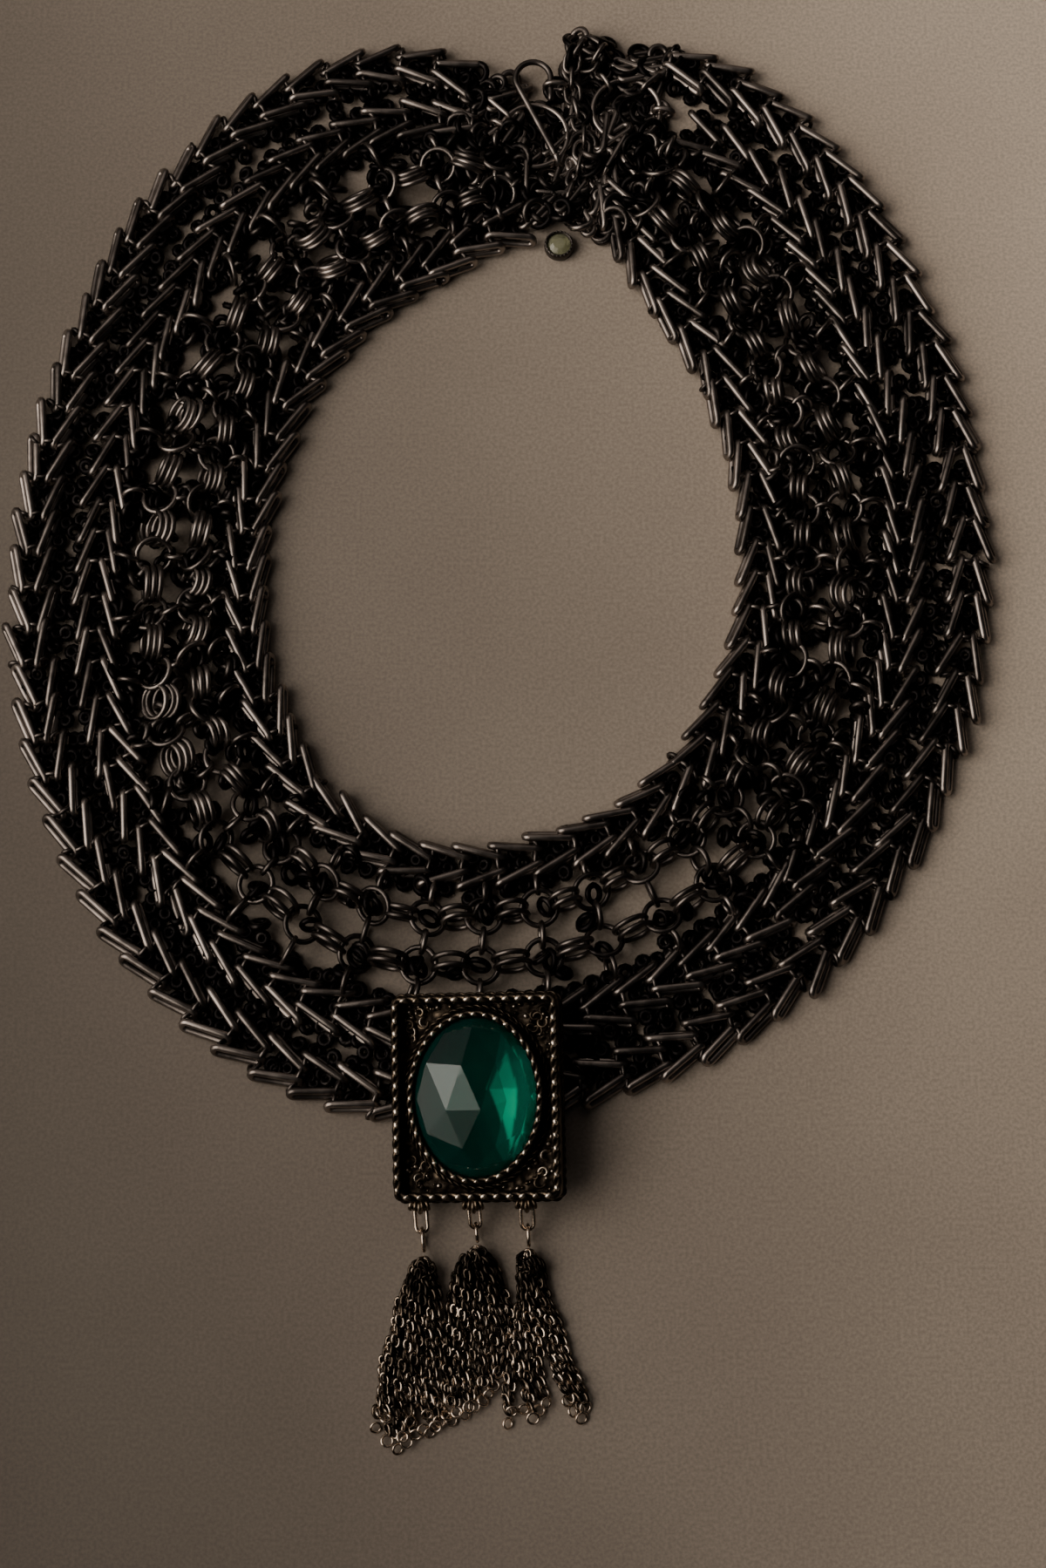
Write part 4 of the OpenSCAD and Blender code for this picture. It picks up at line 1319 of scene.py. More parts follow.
@dataclass(kw_only=True)
class Brooch(Assembly):
    """Rope-edged box with an oval stone in a roped setting, tilted on the strands.

    The rows of facet_shine hold, for each point of the star from the right round over the top, the
    tones of its facet at the tip, the two outward ones and the one between, which paint each facet's
    reflection and shade. The rows of glow hold the height of a line over the foil, where its painted
    glow starts and ends, and how bright it is.
    """

    gunmetal: Material
    glass: Material
    foil: Material
    seed: int = 5
    spot: Triple = (-4.9, -87.9, 9.7)
    pitch: float = 8.0
    roll: float = 7.0
    yaw: float = 0.2
    width: float = 34.6
    height: float = 41.8
    depth: float = 5.0
    corner: float = 1.9
    wall: float = 1.3
    plate: float = 1.2
    box_step: float = 0.9
    rope_step: float = 0.34
    rope: float = 1.95
    rope_pitch: float = 5.2
    foot_rope: Pair = (1.15, 4.2)
    floor_steps: tuple[int, int] = (66, 84)
    stone_w: float = 25.2
    stone_h: float = 32.4
    stone_rise: float = 5.4
    seat_gap: float = 0.15
    bezel_rope: float = 1.65
    bezel_pitch: float = 4.8
    outer_rope: Pair = (1.1, 3.4)
    oval_steps: int = 120
    stone_sides: int = 48
    granules: int = 900
    granule_sizes: Triple = (0.62, 0.85, 1.15)
    granule_share: float = 0.33
    curls: int = 9
    curl_sizes: Pair = (0.45, 0.85)
    curl_wires: Pair = (0.5, 0.75)
    curl_bends: Pair = (2.2, 4.8)
    loop_r: float = 1.35
    loop_wire: float = 0.9
    loop_places: Triple = (-12.4, -1.3, 9.6)
    coil_od: float = 3.1
    coil_wire: float = 0.8
    coil_sides: tuple = (-1, -0.4, 0.4, 1)
    hangers: tuple = ((-15.0, -73.0), (3.0, -73.0))
    hanger_wire: float = 1.0
    tip: Pair = (1.8, -2.5)
    star: tuple = ((7.0, -0.8), (4.9, 7.0), (-2.2, 6.5), (-5.4, -2.5), (-2.2, -10.2), (4.6, -9.8))
    facet_shine: tuple = (
        (-0.3, -0.9, -1.0, -0.5), (0.04, -0.1, 0.0, 0.05), (0.8, 0.03, 1.0, 0.32),
        (0.12, 0.26, 0.2, 0.15), (0.05, 0.1, 0.04, -0.2), (-0.15, -0.6, -0.85, -1.0),
    )
    side_shine: float = -0.3
    glow: tuple = (
        (-12.6, 4.7, 5.0, 0.3), (-9.4, 4.9, 5.9, 0.6), (-7.6, 4.7, 6.2, 0.85), (-3.0, 3.4, 6.9, 1.0),
        (1.3, 1.8, 7.3, 1.0), (1.5, 1.8, 7.3, 0.55), (5.6, 3.7, 6.4, 0.6), (8.6, 5.2, 5.5, 0.8),
    )

    def __post_init__(self) -> None:
        """Works out the turn of the whole brooch and its main heights."""
        super().__post_init__()
        self.turn = (spin(Axis.Z, self.yaw) @ spin(Axis.Y, -self.roll) @ spin(Axis.X, self.pitch))[0]
        self.top = self.depth / 2
        self.low = -self.depth / 2 + self.plate
        self.base_z = self.low + 0.1
        self.body = Joined("brooch_frame_body")

    def build(self) -> None:
        """Makes the frame with its ornament, the stone and the rings behind."""
        self.box()
        self.floor()
        self.ropes()
        self.setting()
        self.grains()
        self.loops()
        self.body.move(self.spot, self.turn).piece(["brooch_frame"], Slot.OLD_GOLD, self.metal)
        self.cut_stone()
        self.stone_foil()
        self.back_rings()

    def box(self) -> None:
        """Adds the hollow box: its walls with rounded edges, inside and out, and its back."""
        top, wall, step = self.top, self.wall, self.box_step
        profile = [(1.6, -top), (0.35, -top), (0.08, -top + 0.2), (0.0, -top + 0.7), (0.05, 0.0), (0.12, top - 0.5),
                   (0.3, top - 0.1), (0.65, top), (1.0, top - 0.1), (1.2, top - 0.5), (wall, 0.0),
                   (wall + 0.15, self.low - 0.3), (wall + 1.0, self.low - 0.3)]
        count = len(rounded_rectangle(self.width, self.height, self.corner, step))
        rings, tone = [], []
        for inset, z in profile:
            outline = rounded_rectangle(self.width - 2 * inset, self.height - 2 * inset,
                                        max(self.corner - inset, 0.5), step)
            s, t = (np.linspace(0, 1, n, endpoint=False) for n in (count, len(outline)))
            rings.append(np.stack([np.interp(s, t, outline[:, axis], period=1) for axis in (0, 1)] + [0 * s + z], 1))
            tone.append(0 * s + (0.35 if inset < 1.05 and z > top - 0.6 else 0.3 if inset < 0.2 else 0.02))
        self.body.add(Part(np.concatenate(rings), grid_quads(len(profile), count), None, np.concatenate(tone)))
        back = rounded_rectangle(self.width - 3.0, self.height - 3.0, 0.6, step) - top * UP
        self.body.add(Part(np.concatenate([back, [-top * UP]]), None, fan(len(back), 0, len(back), True)), tone=0.4)

    def floor(self) -> None:
        """Adds the sunk floor, cast with a rough, pitted ground."""
        xs, ys = (np.linspace(-size / 2 + self.wall - 0.2, size / 2 - self.wall + 0.2, steps)
                  for size, steps in zip((self.width, self.height), self.floor_steps))
        x, y = np.meshgrid(xs, ys, indexing="ij")
        rough = self.rng.normal(0, 1, x.shape)
        soft = (rough + np.roll(rough, 1, 0) + np.roll(rough, 1, 1) + np.roll(rough, (1, 1), (0, 1))) / 4
        under_stone = np.hypot(x / (self.stone_w / 2 + 0.8), y / (self.stone_h / 2 + 0.8)) < 1
        z = np.where(under_stone, -self.top + 0.15, self.low + 0.3 * soft)
        tone = np.clip(0.35 * soft.ravel() - 0.05, 0, 0.4)
        quads = grid_quads(len(xs), len(ys), column_loop=False)
        self.body.add(Part(np.stack([x, y, z], 2).reshape(-1, 3), quads, None, tone))

    def ropes(self) -> None:
        """Adds the rope on the edge of the box and the finer one round its foot."""
        edge = rounded_rectangle(self.width - self.rope, self.height - self.rope, 1.4, self.rope_step)
        self.rope_with_bright_crests(edge + (self.top + 0.05) * UP, self.rope, self.rope_pitch)
        foot = rounded_rectangle(self.width + 0.1, self.height + 0.1, self.corner, self.rope_step)
        self.body.add_rope(foot + (0.75 - self.top) * UP, *self.foot_rope, sides=6, tone=0.6)

    def rope_with_bright_crests(self, path: Array, thick: float, pitch: float) -> None:
        """Adds a rope with bright crests along a path, partly wear and partly painted highlight."""
        self.body.add_rope(path, thick, pitch)
        self.body.add_crests(self.rng, path, thick, pitch)

    def setting(self) -> None:
        """Adds the oval wall round the stone with its ropes."""
        top, steps = self.top + 0.6, self.oval_steps
        wide, high = self.stone_w + 2 * self.seat_gap, self.stone_h + 2 * self.seat_gap
        profile = [(1.55, self.low - 0.3, 0.0), (1.5, -1.0, 0.05), (1.25, 0.8, 0.1), (1.2, 2.0, 0.2),
                   (1.0, top - 0.15, 0.3), (0.55, top + 0.05, 0.3), (0.15, top - 0.05, 0.25), (0.0, top - 0.6, 0.1),
                   (0.0, -1.0, 0.05)]
        points = np.concatenate([oval_path(wide + 2 * out, high + 2 * out, steps) + z * UP for out, z, _ in profile])
        tone = np.repeat([shade for _, _, shade in profile], steps)
        self.body.add(Part(points, grid_quads(len(profile), steps)[:, ::-1], None, tone))
        self.rope_with_bright_crests(oval_path(wide + 1.15, high + 1.15, 300) + (top + 0.2) * UP, self.bezel_rope, self.bezel_pitch)
        self.body.add_rope(oval_path(wide + 4.3, high + 4.3, 260) - 0.2 * UP, *self.outer_rope, sides=6, tone=0.6)

    def grains(self) -> None:
        """Adds the granules of the corners and the curls of wire between them."""
        rng, low = self.rng, self.low
        xs, ys = self.width / 2 - self.wall - 0.5, self.height / 2 - self.wall - 0.5
        spots = rng.uniform([-xs, -ys], [xs, ys], (self.granules, 2))
        reach = np.hypot(spots[:, 0] / (self.stone_w / 2 + 2.6), spots[:, 1] / (self.stone_h / 2 + 2.6))
        spots = spots[(reach > 1.0) & (rng.uniform(0, 1, len(spots)) < np.clip((reach - 0.95) * 3.2, 0.12, 1))]
        for size in self.granule_sizes:
            chosen = spots[rng.uniform(0, 1, len(spots)) < self.granule_share]
            count = len(chosen)
            z = low + size * 0.3 + rng.uniform(0, 0.9, count) * (size < 1.1)
            # Painted highlight: the granules in the lower half of the box are brighter.
            shade = 0.1 + 1.15 * rng.uniform(0, 1, count) ** np.where(chosen[:, 1] < 0, 0.9, 1.9)
            self.body.add(ball(size), spin(Axis.Z, rng.uniform(0, 360, count)), np.column_stack([chosen, z]), shade)
        for sx, sy in ((-1, -1), (-1, 1), (1, -1), (1, 1)):
            for dx, dy in rng.uniform([1.2, 1.2], [5.5, 9.0], (self.curls, 2)):
                self.curl(sx * (xs - dx), sy * (ys - dy))

    def curl(self, x: float, y: float) -> None:
        """Adds one small bent wire to the floor, unless the setting is there.

        Args:
            x: Its place across.
            y: Its place along.
        """
        if np.hypot(x / (self.stone_w / 2 + 2.9), y / (self.stone_h / 2 + 2.9)) < 1:
            return
        rng, t = self.rng, np.linspace(0, 1, 16)
        r = rng.uniform(*self.curl_sizes) * (1 + 0.5 * t)
        path = arc(r, r, rng.uniform(*self.curl_bends) * t, 0.4 * np.sin(3 * t))
        part = wire(path, rng.uniform(*self.curl_wires), 8, closed=False)
        self.body.add(part, spin(Axis.Z, rng.uniform(0, 360)), (x, y, self.low + 0.8),
                      0.15 + 0.85 * rng.uniform(0, 1) ** 1.5)

    def loops(self) -> None:
        """Adds the loops under the lower edge, each with a coil of finer wire at its root."""
        edge, z = -self.height / 2, -self.top + self.loop_wire
        for x in self.loop_places:
            self.body.add_rings(spin(Axis.Y, 90), (x, edge - self.loop_r + 0.3, z), 2 * self.loop_r + self.loop_wire,
                                self.loop_wire, steps=22, sides=10, tone=0.6, on_floor=False)
            for side in self.coil_sides:
                tilt = spin(Axis.Z, side * 24) @ spin(Axis.Y, 90 + side * 16)
                self.body.add_rings(tilt, (x + side * 1.5, edge - 0.75, z + 0.7), self.coil_od - 0.4 * abs(side),
                                    self.coil_wire, steps=18, sides=8, tone=0.5, on_floor=False)

    def cut_stone(self) -> None:
        """Makes the stone, a rose cut with a star of six facets, each facet given a painted reflection and painted
        shade by its tone.
        """
        count, wide, high = self.stone_sides, self.stone_w / 2, self.stone_h / 2
        girdle, even = self.top + 0.4, np.arange(12) % 2 == 0
        share, ring_rise = np.where(even, 0.93, 0.88), np.where(even, 0.36, 0.46) * self.stone_rise
        oval = arc(wide, high, round_angles(count))
        points = np.concatenate([
            oval * [0.985, 0.985, 0] + self.base_z * UP, oval + (girdle - 0.5) * UP,
            arc(share * wide, share * high, np.radians(30 * np.arange(12)), girdle + ring_rise),
            np.column_stack([self.star, np.full(6, girdle + 0.79 * self.stone_rise)]),
            [(*self.tip, girdle + self.stone_rise), self.base_z * UP],
        ])
        first_ring, first_star, tip = 2 * count, 2 * count + 12, 2 * count + 18
        tris = [[(i + 1) % count, i, tip + 1] for i in range(count)]
        for k in range(6):
            here, onward = first_star + k, first_star + (k + 1) % 6
            below, between, beyond = (first_ring + (2 * k + i) % 12 for i in range(3))
            tris += [[here, onward, tip], [here, below, between], [here, between, onward], [onward, between, beyond]]
        each = count // 12
        for k in range(12):
            here, onward = first_ring + k, first_ring + (k + 1) % 12
            edge = [count + (k * each + i) % count for i in range(each + 1)]
            tris += [[edge[i], edge[i + 1], here if i < each // 2 else onward] for i in range(each)]
            tris.append([edge[each // 2], onward, here])
        # Painted reflection and painted shade: the tone of each facet, and of the girdle, sets how much it mirrors
        # and how deep its colour is.
        shine = np.full(len(tris), self.side_shine)
        shine[count:count + 24] = np.ravel(self.facet_shine)
        corners = points[np.array(tris)].reshape(-1, 3)
        stone = Joined("brooch_stone_cut")
        stone.add(Part(corners, None, np.arange(len(corners)).reshape(-1, 3), np.repeat(shine, 3)))
        stone.add(Part(points, grid_quads(2, count)), tone=self.side_shine)
        stone.move(self.spot, self.turn).piece(["brooch_stone"], Slot.GREEN_STONE, self.glass, smooth=False)

    def stone_foil(self) -> None:
        """Makes the dished foil behind the stone, with a painted glow where light would come back through the facets.
        """
        shares, steps, edge = np.linspace(0.985, 0.01, 44), self.oval_steps, 0.5
        oval = arc(self.stone_w / 2, self.stone_h / 2, round_angles(steps))
        spots = np.concatenate([oval * s + (self.base_z - 0.05 - 0.8 * (1 - s * s)) * UP for s in shares])
        # Painted glow: the rows of glow make the foil bright on a band of each line, and faintly bright beyond it.
        y, *rows = np.array(self.glow).T
        left, right, level = (np.interp(spots[:, 1], y, row) for row in rows)
        inside = np.clip((spots[:, 0] - left) / edge, 0, 1) * np.clip((right - spots[:, 0]) / edge, 0, 1)
        beyond = 0.1 * np.clip((spots[:, 0] - right + edge) / edge, 0, 1)
        back = Joined("brooch_stone_foil")
        back.add(Part(spots, grid_quads(len(shares), steps), None, np.clip(level * inside + beyond, 0.05, 1)))
        back.move(self.spot, self.turn).piece([], Slot.GREEN_STONE, self.foil)

    def back_rings(self) -> None:
        """Makes the standing rings that hold the back of the brooch to the strand."""
        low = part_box("brooch_rings")[0][2] / MM
        pitch, roll = np.tan(np.radians([self.pitch, self.roll]))
        body = Joined("brooch_rings_wire")
        for x, y in self.hangers:
            back = self.spot[2] - self.top + (y - self.spot[1]) * pitch + (x - self.spot[0]) * roll
            od = back - 0.3 - low
            body.add_rings(spin(Axis.Y, 90), (x, y, low + od / 2), od, self.hanger_wire, steps=24, sides=10, tone=0.9)
        body.piece(["brooch_rings"], Slot.GUNMETAL, self.gunmetal)


@dataclass(kw_only=True)
class Tassel(Assembly):
    """Bunch of fine chains hanging from a link and a ring under the brooch.

    The rows of strands hold: x at the top, x at 130 and 140 mm down, x and distance down at the
    lower end, and the layer, 0 on the floor.
    """

    index: int
    top: tuple[float, float]
    strands: tuple
    link_len: float = 3.3
    link_width: float = 2.25
    link_wire: float = 0.74
    link_yaw: float = 24.0
    pitch: float = 2.0
    end_od: float = 2.8
    end_wire: float = 0.55
    marks: Pair = (130.0, 140.0)
    wave: float = 0.35
    low: float = 0.85
    layer_rise: float = 1.25
    top_rise: float = 1.3
    link_tone: Pair = (0.7, 1.1)
    end_tone: Pair = (0.85, 1.1)
    roll: float = 44.0
    loops: tuple = ((-34, 4.6), (-12, 4.2), (14, 4.4), (36, 4.6))
    loop_width: float = 2.3
    loop_wire: float = 0.62
    loop_out: float = 1.7
    loop_tone: Pair = (0.45, 0.8)
    rings: int = 10
    ring_od: float = 2.4
    ring_wire: float = 0.52
    ring_out: float = 1.6
    ring_tone: Pair = (0.05, 0.4)

    def build(self) -> None:
        """Makes the chains with their end rings, and the gathering loops at the top."""
        self.body = Joined(f"tassel_{self.index}_chains")
        link = self.curb_link()
        for row in self.strands:
            self.chain(link, *row)
        self.gather()
        self.body.piece([f"tassel_{self.index}"], Slot.OLD_GOLD, self.metal)

    def curb_link(self) -> Part:
        """One link of twisted oval wire, which lies flat in its chain, lighter on its upper side and darker below as
        painted shade.

        Returns:
            The link.
        """
        t = round_angles(12)
        half, side = (self.link_len - self.link_wire) / 2, (self.link_width - self.link_wire) / 2
        link = wire(arc(half, side, t, 0.12 * np.sin(2 * t)), self.link_wire, 6)
        # Painted shade: the tone falls from the top of the wire to its underside.
        link.tone = np.clip(0.25 + link.points[:, 2] * 2.0, 0, 1)
        return link

    def chain(self, link: Part, x_top: float, x_high: float, x_low: float, x_end: float, y_end: float,
              layer: int) -> None:
        """Adds one chain along its route.

        Args:
            link: Link of the chain.
            x_top: Place across of its top.
            x_high: Its place across at 130 mm down.
            x_low: Its place across at 140 mm down.
            x_end: Place across of its lower end.
            y_end: Distance down of its lower end.
            layer: Layer that it lies in.
        """
        rng = self.rng
        knots = np.array([-self.top[1] + 1.6, *self.marks, y_end])
        down = np.linspace(knots[0], knots[-1], 60)
        x = np.poly1d(np.polyfit(knots, [x_top, x_high, x_low, x_end], 3))(down)
        x = x + self.wave * np.sin(down * rng.uniform(0.35, 0.6) + rng.uniform(0, 6))
        share = (down - knots[0]) / (knots[-1] - knots[0])
        bulge = np.sin(np.pi * np.clip(share * 1.1 + 0.12, 0, 1)) ** 0.7
        z = self.low + self.layer_rise * layer * bulge + self.top_rise * np.exp(-share * 7) + 0.12 * rng.normal()
        route = np.stack([x, -down, z], 1)
        s = lengths(route)
        at = np.arange(self.pitch * rng.uniform(0.1, 1.0), s[-1] - self.end_od * 0.8, self.pitch)
        count = len(at)
        d = places_at(at + 0.5, s, route) - places_at(at - 0.5, s, route)
        roll = rng.uniform(-20, 20) + np.cumsum(rng.normal(0, 7, count))
        roll = roll + np.where(np.arange(count) % 2 == 0, self.roll, -self.roll)
        # Painted shade: the links near the top of each chain, where the chains bunch, are darker.
        shade = 0.25 + 0.75 * np.clip(at / 9.0 - 0.2, 0, 1)
        self.body.add(link, pose_along(d, roll, self.link_yaw), places_at(at, s, route),
                      rng.uniform(*self.link_tone, count) * shade, on_floor=True)
        tilt = spin(Axis.Z, rng.uniform(0, 180)) @ spin(Axis.X, rng.uniform(8, 48))
        self.body.add_rings(tilt, (x[-1], -down[-1] + self.end_od * 0.1, 0.9 + 0.6 * layer),
                            self.end_od * rng.uniform(0.92, 1.05), self.end_wire, steps=18, sides=8,
                            tone=rng.uniform(*self.end_tone))

    def gather(self) -> None:
        """Adds the larger loops that gather the chains at the top."""
        rng, (x, y) = self.rng, self.top
        for spread, length in self.loops:
            q = np.radians(spread - 90)
            pose = spin(Axis.Z, spread - 90) @ spin(Axis.Y, 12) @ spin(Axis.X, rng.uniform(20, 110))
            place = (x + self.loop_out * np.cos(q), y - 0.2 + self.loop_out * np.sin(q), 2.5)
            self.body.add(oval_link(length, self.loop_width, self.loop_wire, sides=8, bend_steps=7), pose, place,
                          rng.uniform(*self.loop_tone), on_floor=True)
        for _ in range(self.rings):
            q = rng.uniform(0, 2 * np.pi)
            place = (x + self.ring_out * np.cos(q), y - 2.4 + self.ring_out * np.sin(q), rng.uniform(1.4, 3.8))
            pose = spin(Axis.Z, rng.uniform(0, 360)) @ spin(Axis.X, rng.uniform(0, 90))
            self.body.add_rings(pose, place, self.ring_od, self.ring_wire, steps=14, sides=7,
                                tone=rng.uniform(*self.ring_tone))


@dataclass(kw_only=True)
class TasselCarriers(Assembly):
    """Link and ring that carry each tassel from a loop of the brooch.

    A row of sizes holds the length and the width of a link and the outer diameter of its ring.
    """

    brooch: Brooch
    sizes: tuple = ((6.2, 3.2, 5.4), (5.6, 3.0, 4.4), (6.2, 3.4, 5.0))
    tops: tuple = ((-15.7, -119.1), (-4.8, -117.0), (5.7, -117.8))
    thick: float = 0.8
    tone: float = 0.9

    def build(self) -> None:
        """Makes the link and the ring of each tassel."""
        brooch, thick = self.brooch, self.thick
        for k, (loop, size, top) in enumerate(zip(brooch.loop_places, self.sizes, self.tops), start=1):
            link_len, link_width, ring_od = size
            local = np.array([loop, -brooch.height / 2 - brooch.loop_r + 0.3, -brooch.top + brooch.loop_wire])
            start = brooch.turn @ local + brooch.spot
            aim = np.array([top[0], top[1] + thick / 2 + 0.3, ring_od / 2])
            way = (aim - start) / np.linalg.norm(aim - start)
            stop = start + way * (link_len - thick)
            back = (aim - stop) / np.linalg.norm(aim - stop)
            link, ring = Joined(f"tassel_link_{k}_wire"), Joined(f"tassel_ring_{k}_wire")
            form = oval_link(link_len, link_width, thick, sides=12, bend_steps=12)
            link.add(form, pose_along(way, 90), (start + stop) / 2, self.tone)
            link.piece([f"tassel_link_{k}"], Slot.OLD_GOLD, self.metal)
            ring.add_rings(spin(Axis.Z, heading(back)) @ spin(Axis.X, 90), stop + back * (ring_od / 2 - thick * 1.6),
                           ring_od, thick, steps=28, sides=12, tone=self.tone, on_floor=False)
            ring.piece([f"tassel_ring_{k}"], Slot.OLD_GOLD, self.metal)


# The top (x, y) of each tassel and the rows of its strands.
TASSELS = (
    ((-15.8, -119.9), (
        (-17.6, -20.8, -23.4, -25.0, 153.8, 0), (-17.4, -20.0, -22.6, -24.2, 150.8, 1),
        (-17.0, -19.2, -21.8, -22.6, 156.4, 0), (-16.8, -18.4, -20.6, -20.6, 158.0, 0),
        (-16.4, -17.6, -19.6, -20.0, 155.6, 2), (-16.0, -16.6, -18.2, -18.6, 156.6, 1),
        (-15.6, -15.6, -17.0, -17.0, 155.2, 0), (-15.2, -14.6, -15.8, -15.4, 154.2, 1),
        (-14.8, -13.6, -14.2, -14.0, 154.8, 0), (-14.5, -12.8, -12.8, -12.9, 153.6, 1),
        (-16.4, -19.6, -22.4, -23.4, 152.0, 2), (-15.4, -14.2, -14.6, -15.0, 151.2, 2),
        (-15.8, -16.0, -17.4, -18.0, 152.6, 2))),
    ((-4.8, -117.7), (
        (-6.8, -10.8, -11.4, -12.2, 152.6, 0), (-6.4, -9.6, -10.6, -11.0, 151.4, 1),
        (-6.0, -8.4, -9.6, -9.6, 152.4, 0), (-5.6, -7.2, -8.4, -8.6, 150.8, 1),
        (-5.2, -5.8, -6.8, -7.4, 151.2, 0), (-4.8, -4.6, -5.4, -6.2, 149.8, 2),
        (-4.4, -3.4, -4.0, -5.0, 149.6, 1), (-3.8, -2.2, -2.6, -3.8, 148.4, 0),
        (-3.4, -0.8, -1.4, -2.8, 147.2, 1), (-3.0, 0.6, -0.6, -1.8, 145.6, 0),
        (-2.8, 1.4, 0.6, -0.8, 142.8, 0), (-5.2, -7.8, -9.0, -10.0, 148.6, 2),
        (-4.0, -1.4, -2.2, -3.2, 144.8, 2))),
    ((5.7, -118.4), (
        (4.4, 3.4, 2.0, 1.2, 153.0, 0), (4.8, 4.2, 3.0, 2.2, 150.6, 1),
        (5.0, 5.0, 4.6, 4.8, 150.2, 0), (5.4, 5.8, 5.8, 6.2, 152.0, 1),
        (5.8, 6.6, 7.0, 7.4, 150.4, 0), (6.2, 7.2, 8.2, 8.8, 149.0, 1),
        (6.6, 8.2, 10.8, 13.0, 148.6, 0), (7.0, 9.0, 12.2, 14.8, 150.6, 1),
        (7.4, 9.8, 13.2, 16.2, 152.0, 0), (7.8, 10.4, 14.0, 17.2, 149.8, 0))),
)
TASSEL_SEEDS = (21, 22, 23)


@dataclass(frozen=True)
class Panel:
    """Soft rectangular light, in metres, watts and degrees."""

    name: str
    at: Triple
    aim: Triple
    size: tuple[float, float]
    power: float
    colour: Triple
    spread: float = 180.0

    def build(self) -> None:
        """Adds the light, facing its aim."""
        data = bpy.data.lights.new(self.name, "AREA")
        data.shape = "RECTANGLE"
        data.size, data.size_y = self.size
        data.energy, data.color, data.spread = self.power, self.colour, np.radians(self.spread)
        lamp = bpy.data.objects.new(self.name, data)
        lamp.location = self.at
        d = np.array(self.aim) - np.array(self.at)
        lamp.rotation_euler = (np.arctan2(np.hypot(d[0], d[1]), -d[2]), 0.0, np.arctan2(d[0], -d[1]) + np.pi)
        bpy.context.scene.collection.objects.link(lamp)


PANELS = (
    Panel("soft_panel", (-0.78, -0.02, 0.66), (0.22, 0.30, 0.0), (1.25, 1.05), 3.5, (1.0, 0.89, 0.78), 90.0),
    Panel("panel_core", (-0.64, 0.12, 0.75), (0.10, 0.12, 0.0), (0.46, 0.60), 1.55, (1.0, 0.93, 0.86)),
    Panel("overhead_panel", (-0.25, 0.80, 1.0), (0.05, 0.10, 0.0), (1.5, 1.1), 1.5, (1.0, 0.86, 0.76)),
)


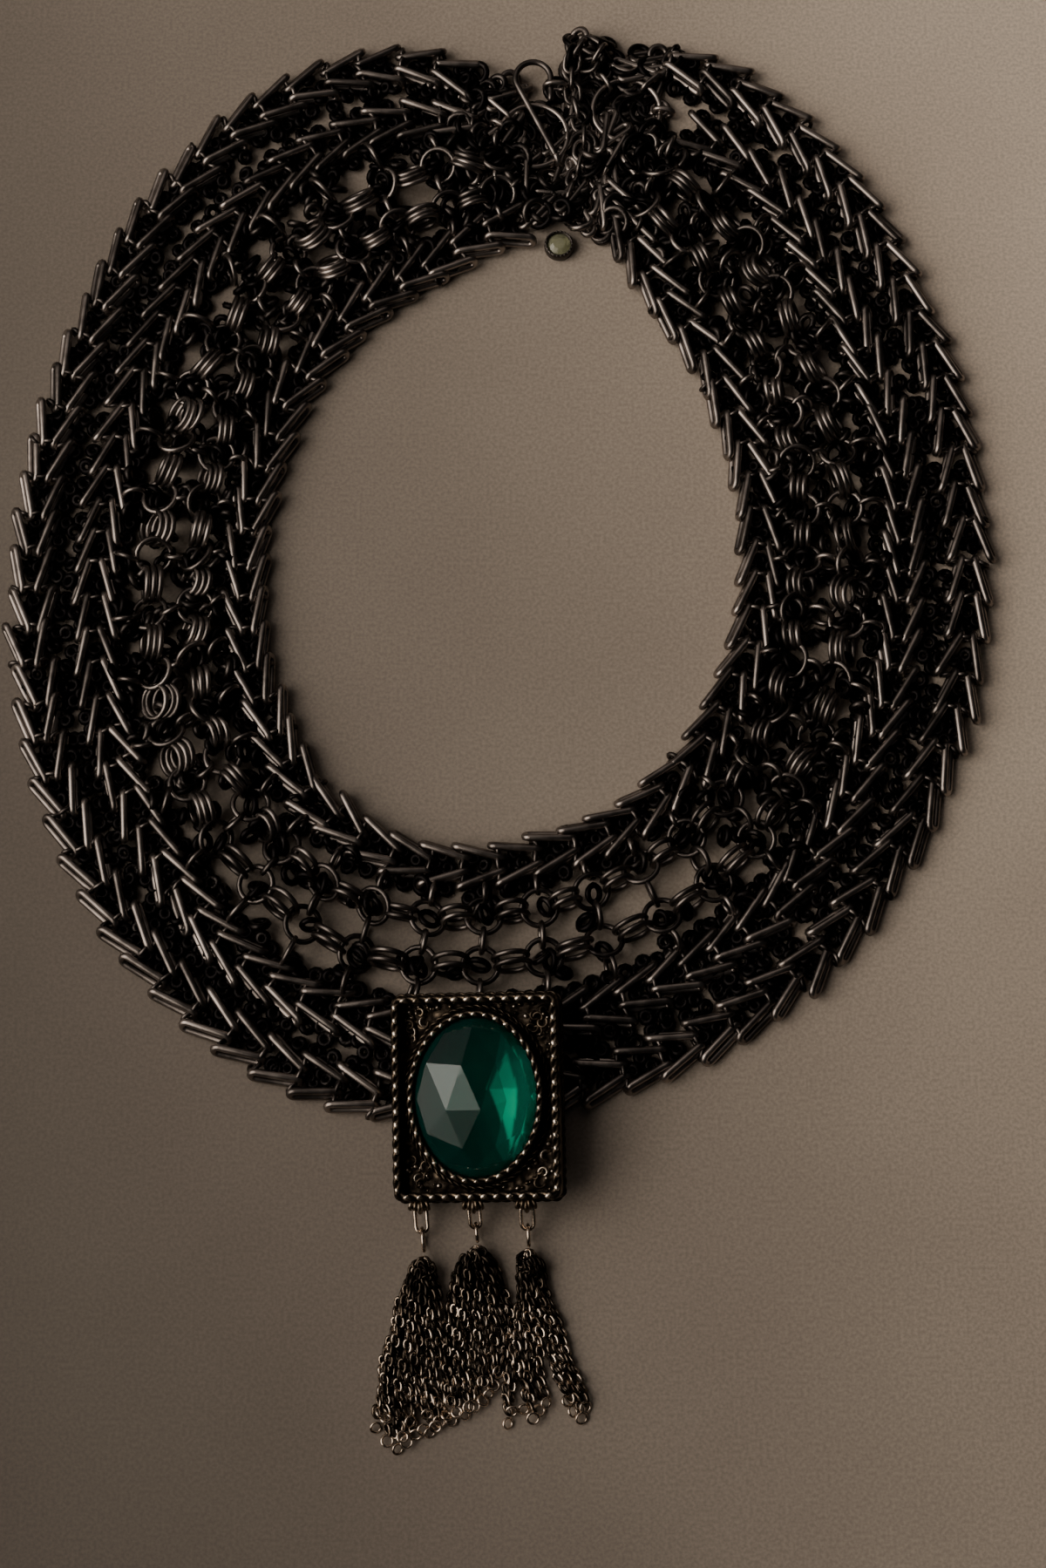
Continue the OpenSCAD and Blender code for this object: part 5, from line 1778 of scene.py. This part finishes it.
@dataclass
class Studio:
    """Floor, soft light and camera at the photograph's angle.

    The floor's tone, a painted light, doubles as often in a metre, to the right and upward, as doublings says.
    """

    target: Triple = (4.5, -19.5, 0.0)
    distance: float = 560.0
    elevation: float = 76.0
    lens: float = 59.95
    sensor: float = 36.0
    room_colour: Color = (0.9, 0.95, 1.0, 1)
    room_strength: float = 0.012
    board_dark: Color = (0.306, 0.255, 0.208, 1)
    board_pale: Color = (0.357, 0.302, 0.2465, 1)
    board_half: float = 2.5
    doublings: Pair = (8.0, 2.2)
    doublings_most: float = 1.4

    def build(self) -> None:
        """Builds the camera, the floor and the lights."""
        self.camera()
        self.floor()
        for panel in PANELS:
            panel.build()
        world = bpy.data.worlds.new("dark_room")
        world.use_nodes = True
        room = world.node_tree.nodes["Background"].inputs
        room["Color"].default_value, room["Strength"].default_value = self.room_colour, self.room_strength
        bpy.context.scene.world = world

    def camera(self) -> None:
        """Adds the camera."""
        q = np.radians(self.elevation)
        data = bpy.data.cameras.new("camera")
        data.sensor_fit, data.sensor_height = "VERTICAL", self.sensor
        data.lens, data.clip_start = self.lens, 0.01
        camera = bpy.data.objects.new("camera", data)
        camera.location = np.array(self.target) * MM + self.distance * MM * np.array([0.0, -np.cos(q), np.sin(q)])
        camera.rotation_euler = (np.radians(90 - self.elevation), 0.0, 0.0)
        bpy.context.scene.collection.objects.link(camera)
        bpy.context.scene.camera = camera

    def floor(self) -> None:
        """Adds the plain floor, a warm grey board with a fine grain, with painted light that makes it paler toward
        the upper right.
        """
        bench, half, most = Bench("warm_grey_board"), self.board_half, self.doublings_most
        fine, broad = bench.noise(1400.0, 5.0), bench.noise(14.0, 3.0)
        base = bench.mix(bench.ramp(broad, 0.3, 0.7), self.board_dark, self.board_pale)
        speck = bench.mix(bench.ramp(fine, 0.35, 0.65), (0.80, 0.80, 0.80, 1), (1.08, 1.08, 1.08, 1))
        axes = bench.node("SeparateXYZ", {"Vector": bench.node("TexCoord").outputs["Object"]}).outputs
        across, along = (bench.math("MULTIPLY", axes[i], self.doublings[i]) for i in (0, 1))
        # Painted light: the floor's tone doubles toward the upper right.
        painted_light_gradient = bench.math("POWER", 2.0, bench.ramp(bench.math("ADD", across, along), -most, most, -most, most))
        tint = bench.mix(1.0, bench.mix(1.0, base, speck, "MULTIPLY"), painted_light_gradient, "MULTIPLY")
        board = bpy.data.meshes.new("floor")
        corners = [(-half, -half, 0), (half, -half, 0), (half, half, 0), (-half, half, 0)]
        board.from_pydata(corners, [], [(0, 1, 2, 3)])
        board.materials.append(bench.finish(
            {"Base Color": tint, "Roughness": bench.ramp(fine, 0.3, 0.7, 0.75, 0.9)}, fine, 0.35, 0.0002))
        board = bpy.data.objects.new("floor", board)
        bpy.context.scene.collection.objects.link(board)


def main() -> None:
    """Builds the studio and every piece of the collar."""
    logging.basicConfig(level=logging.INFO, format="%(name)s %(message)s")
    Studio().build()
    gunmetal, gilt, tassel_metal = GUNMETAL.material(), OLD_GOLD.material(), TASSEL_METAL.material()
    FishboneStrand(metal=gunmetal, seed=1, name="outer_strand", column=Column.OUTER, pairs=78, sectors=8,
                   sense=1, inner_lean=17, outer_lean=32, fill_sides=(1,)).build()
    FishboneStrand(metal=gunmetal, seed=2, name="second_strand", column=Column.SECOND, pairs=76, sectors=8,
                   sense=-1, inner_lean=17, outer_lean=20, fill_sides=(-1, 1)).build()
    FishboneStrand(metal=gunmetal, seed=3, name="neck_strand", column=Column.NECK, pairs=52, sectors=12,
                   sense=1, inner_lean=20, outer_lean=16, fill_sides=(-1,)).build()
    for whole in (RingMesh, Clasp, GatheredEnds):
        whole(metal=gunmetal).build()
    Drop(metal=gunmetal, glass=PALE_GLASS.material(), foil=PALE_FOIL.material()).build()
    brooch = Brooch(metal=gilt, gunmetal=gunmetal, glass=GREEN_GLASS.material(), foil=GREEN_FOIL.material())
    brooch.build()
    TasselCarriers(metal=tassel_metal, brooch=brooch).build()
    for index, (seed, (top, strands)) in enumerate(zip(TASSEL_SEEDS, TASSELS), start=1):
        Tassel(metal=tassel_metal, seed=seed, index=index, top=top, strands=strands).build()


if __name__ == "__main__":
    main()
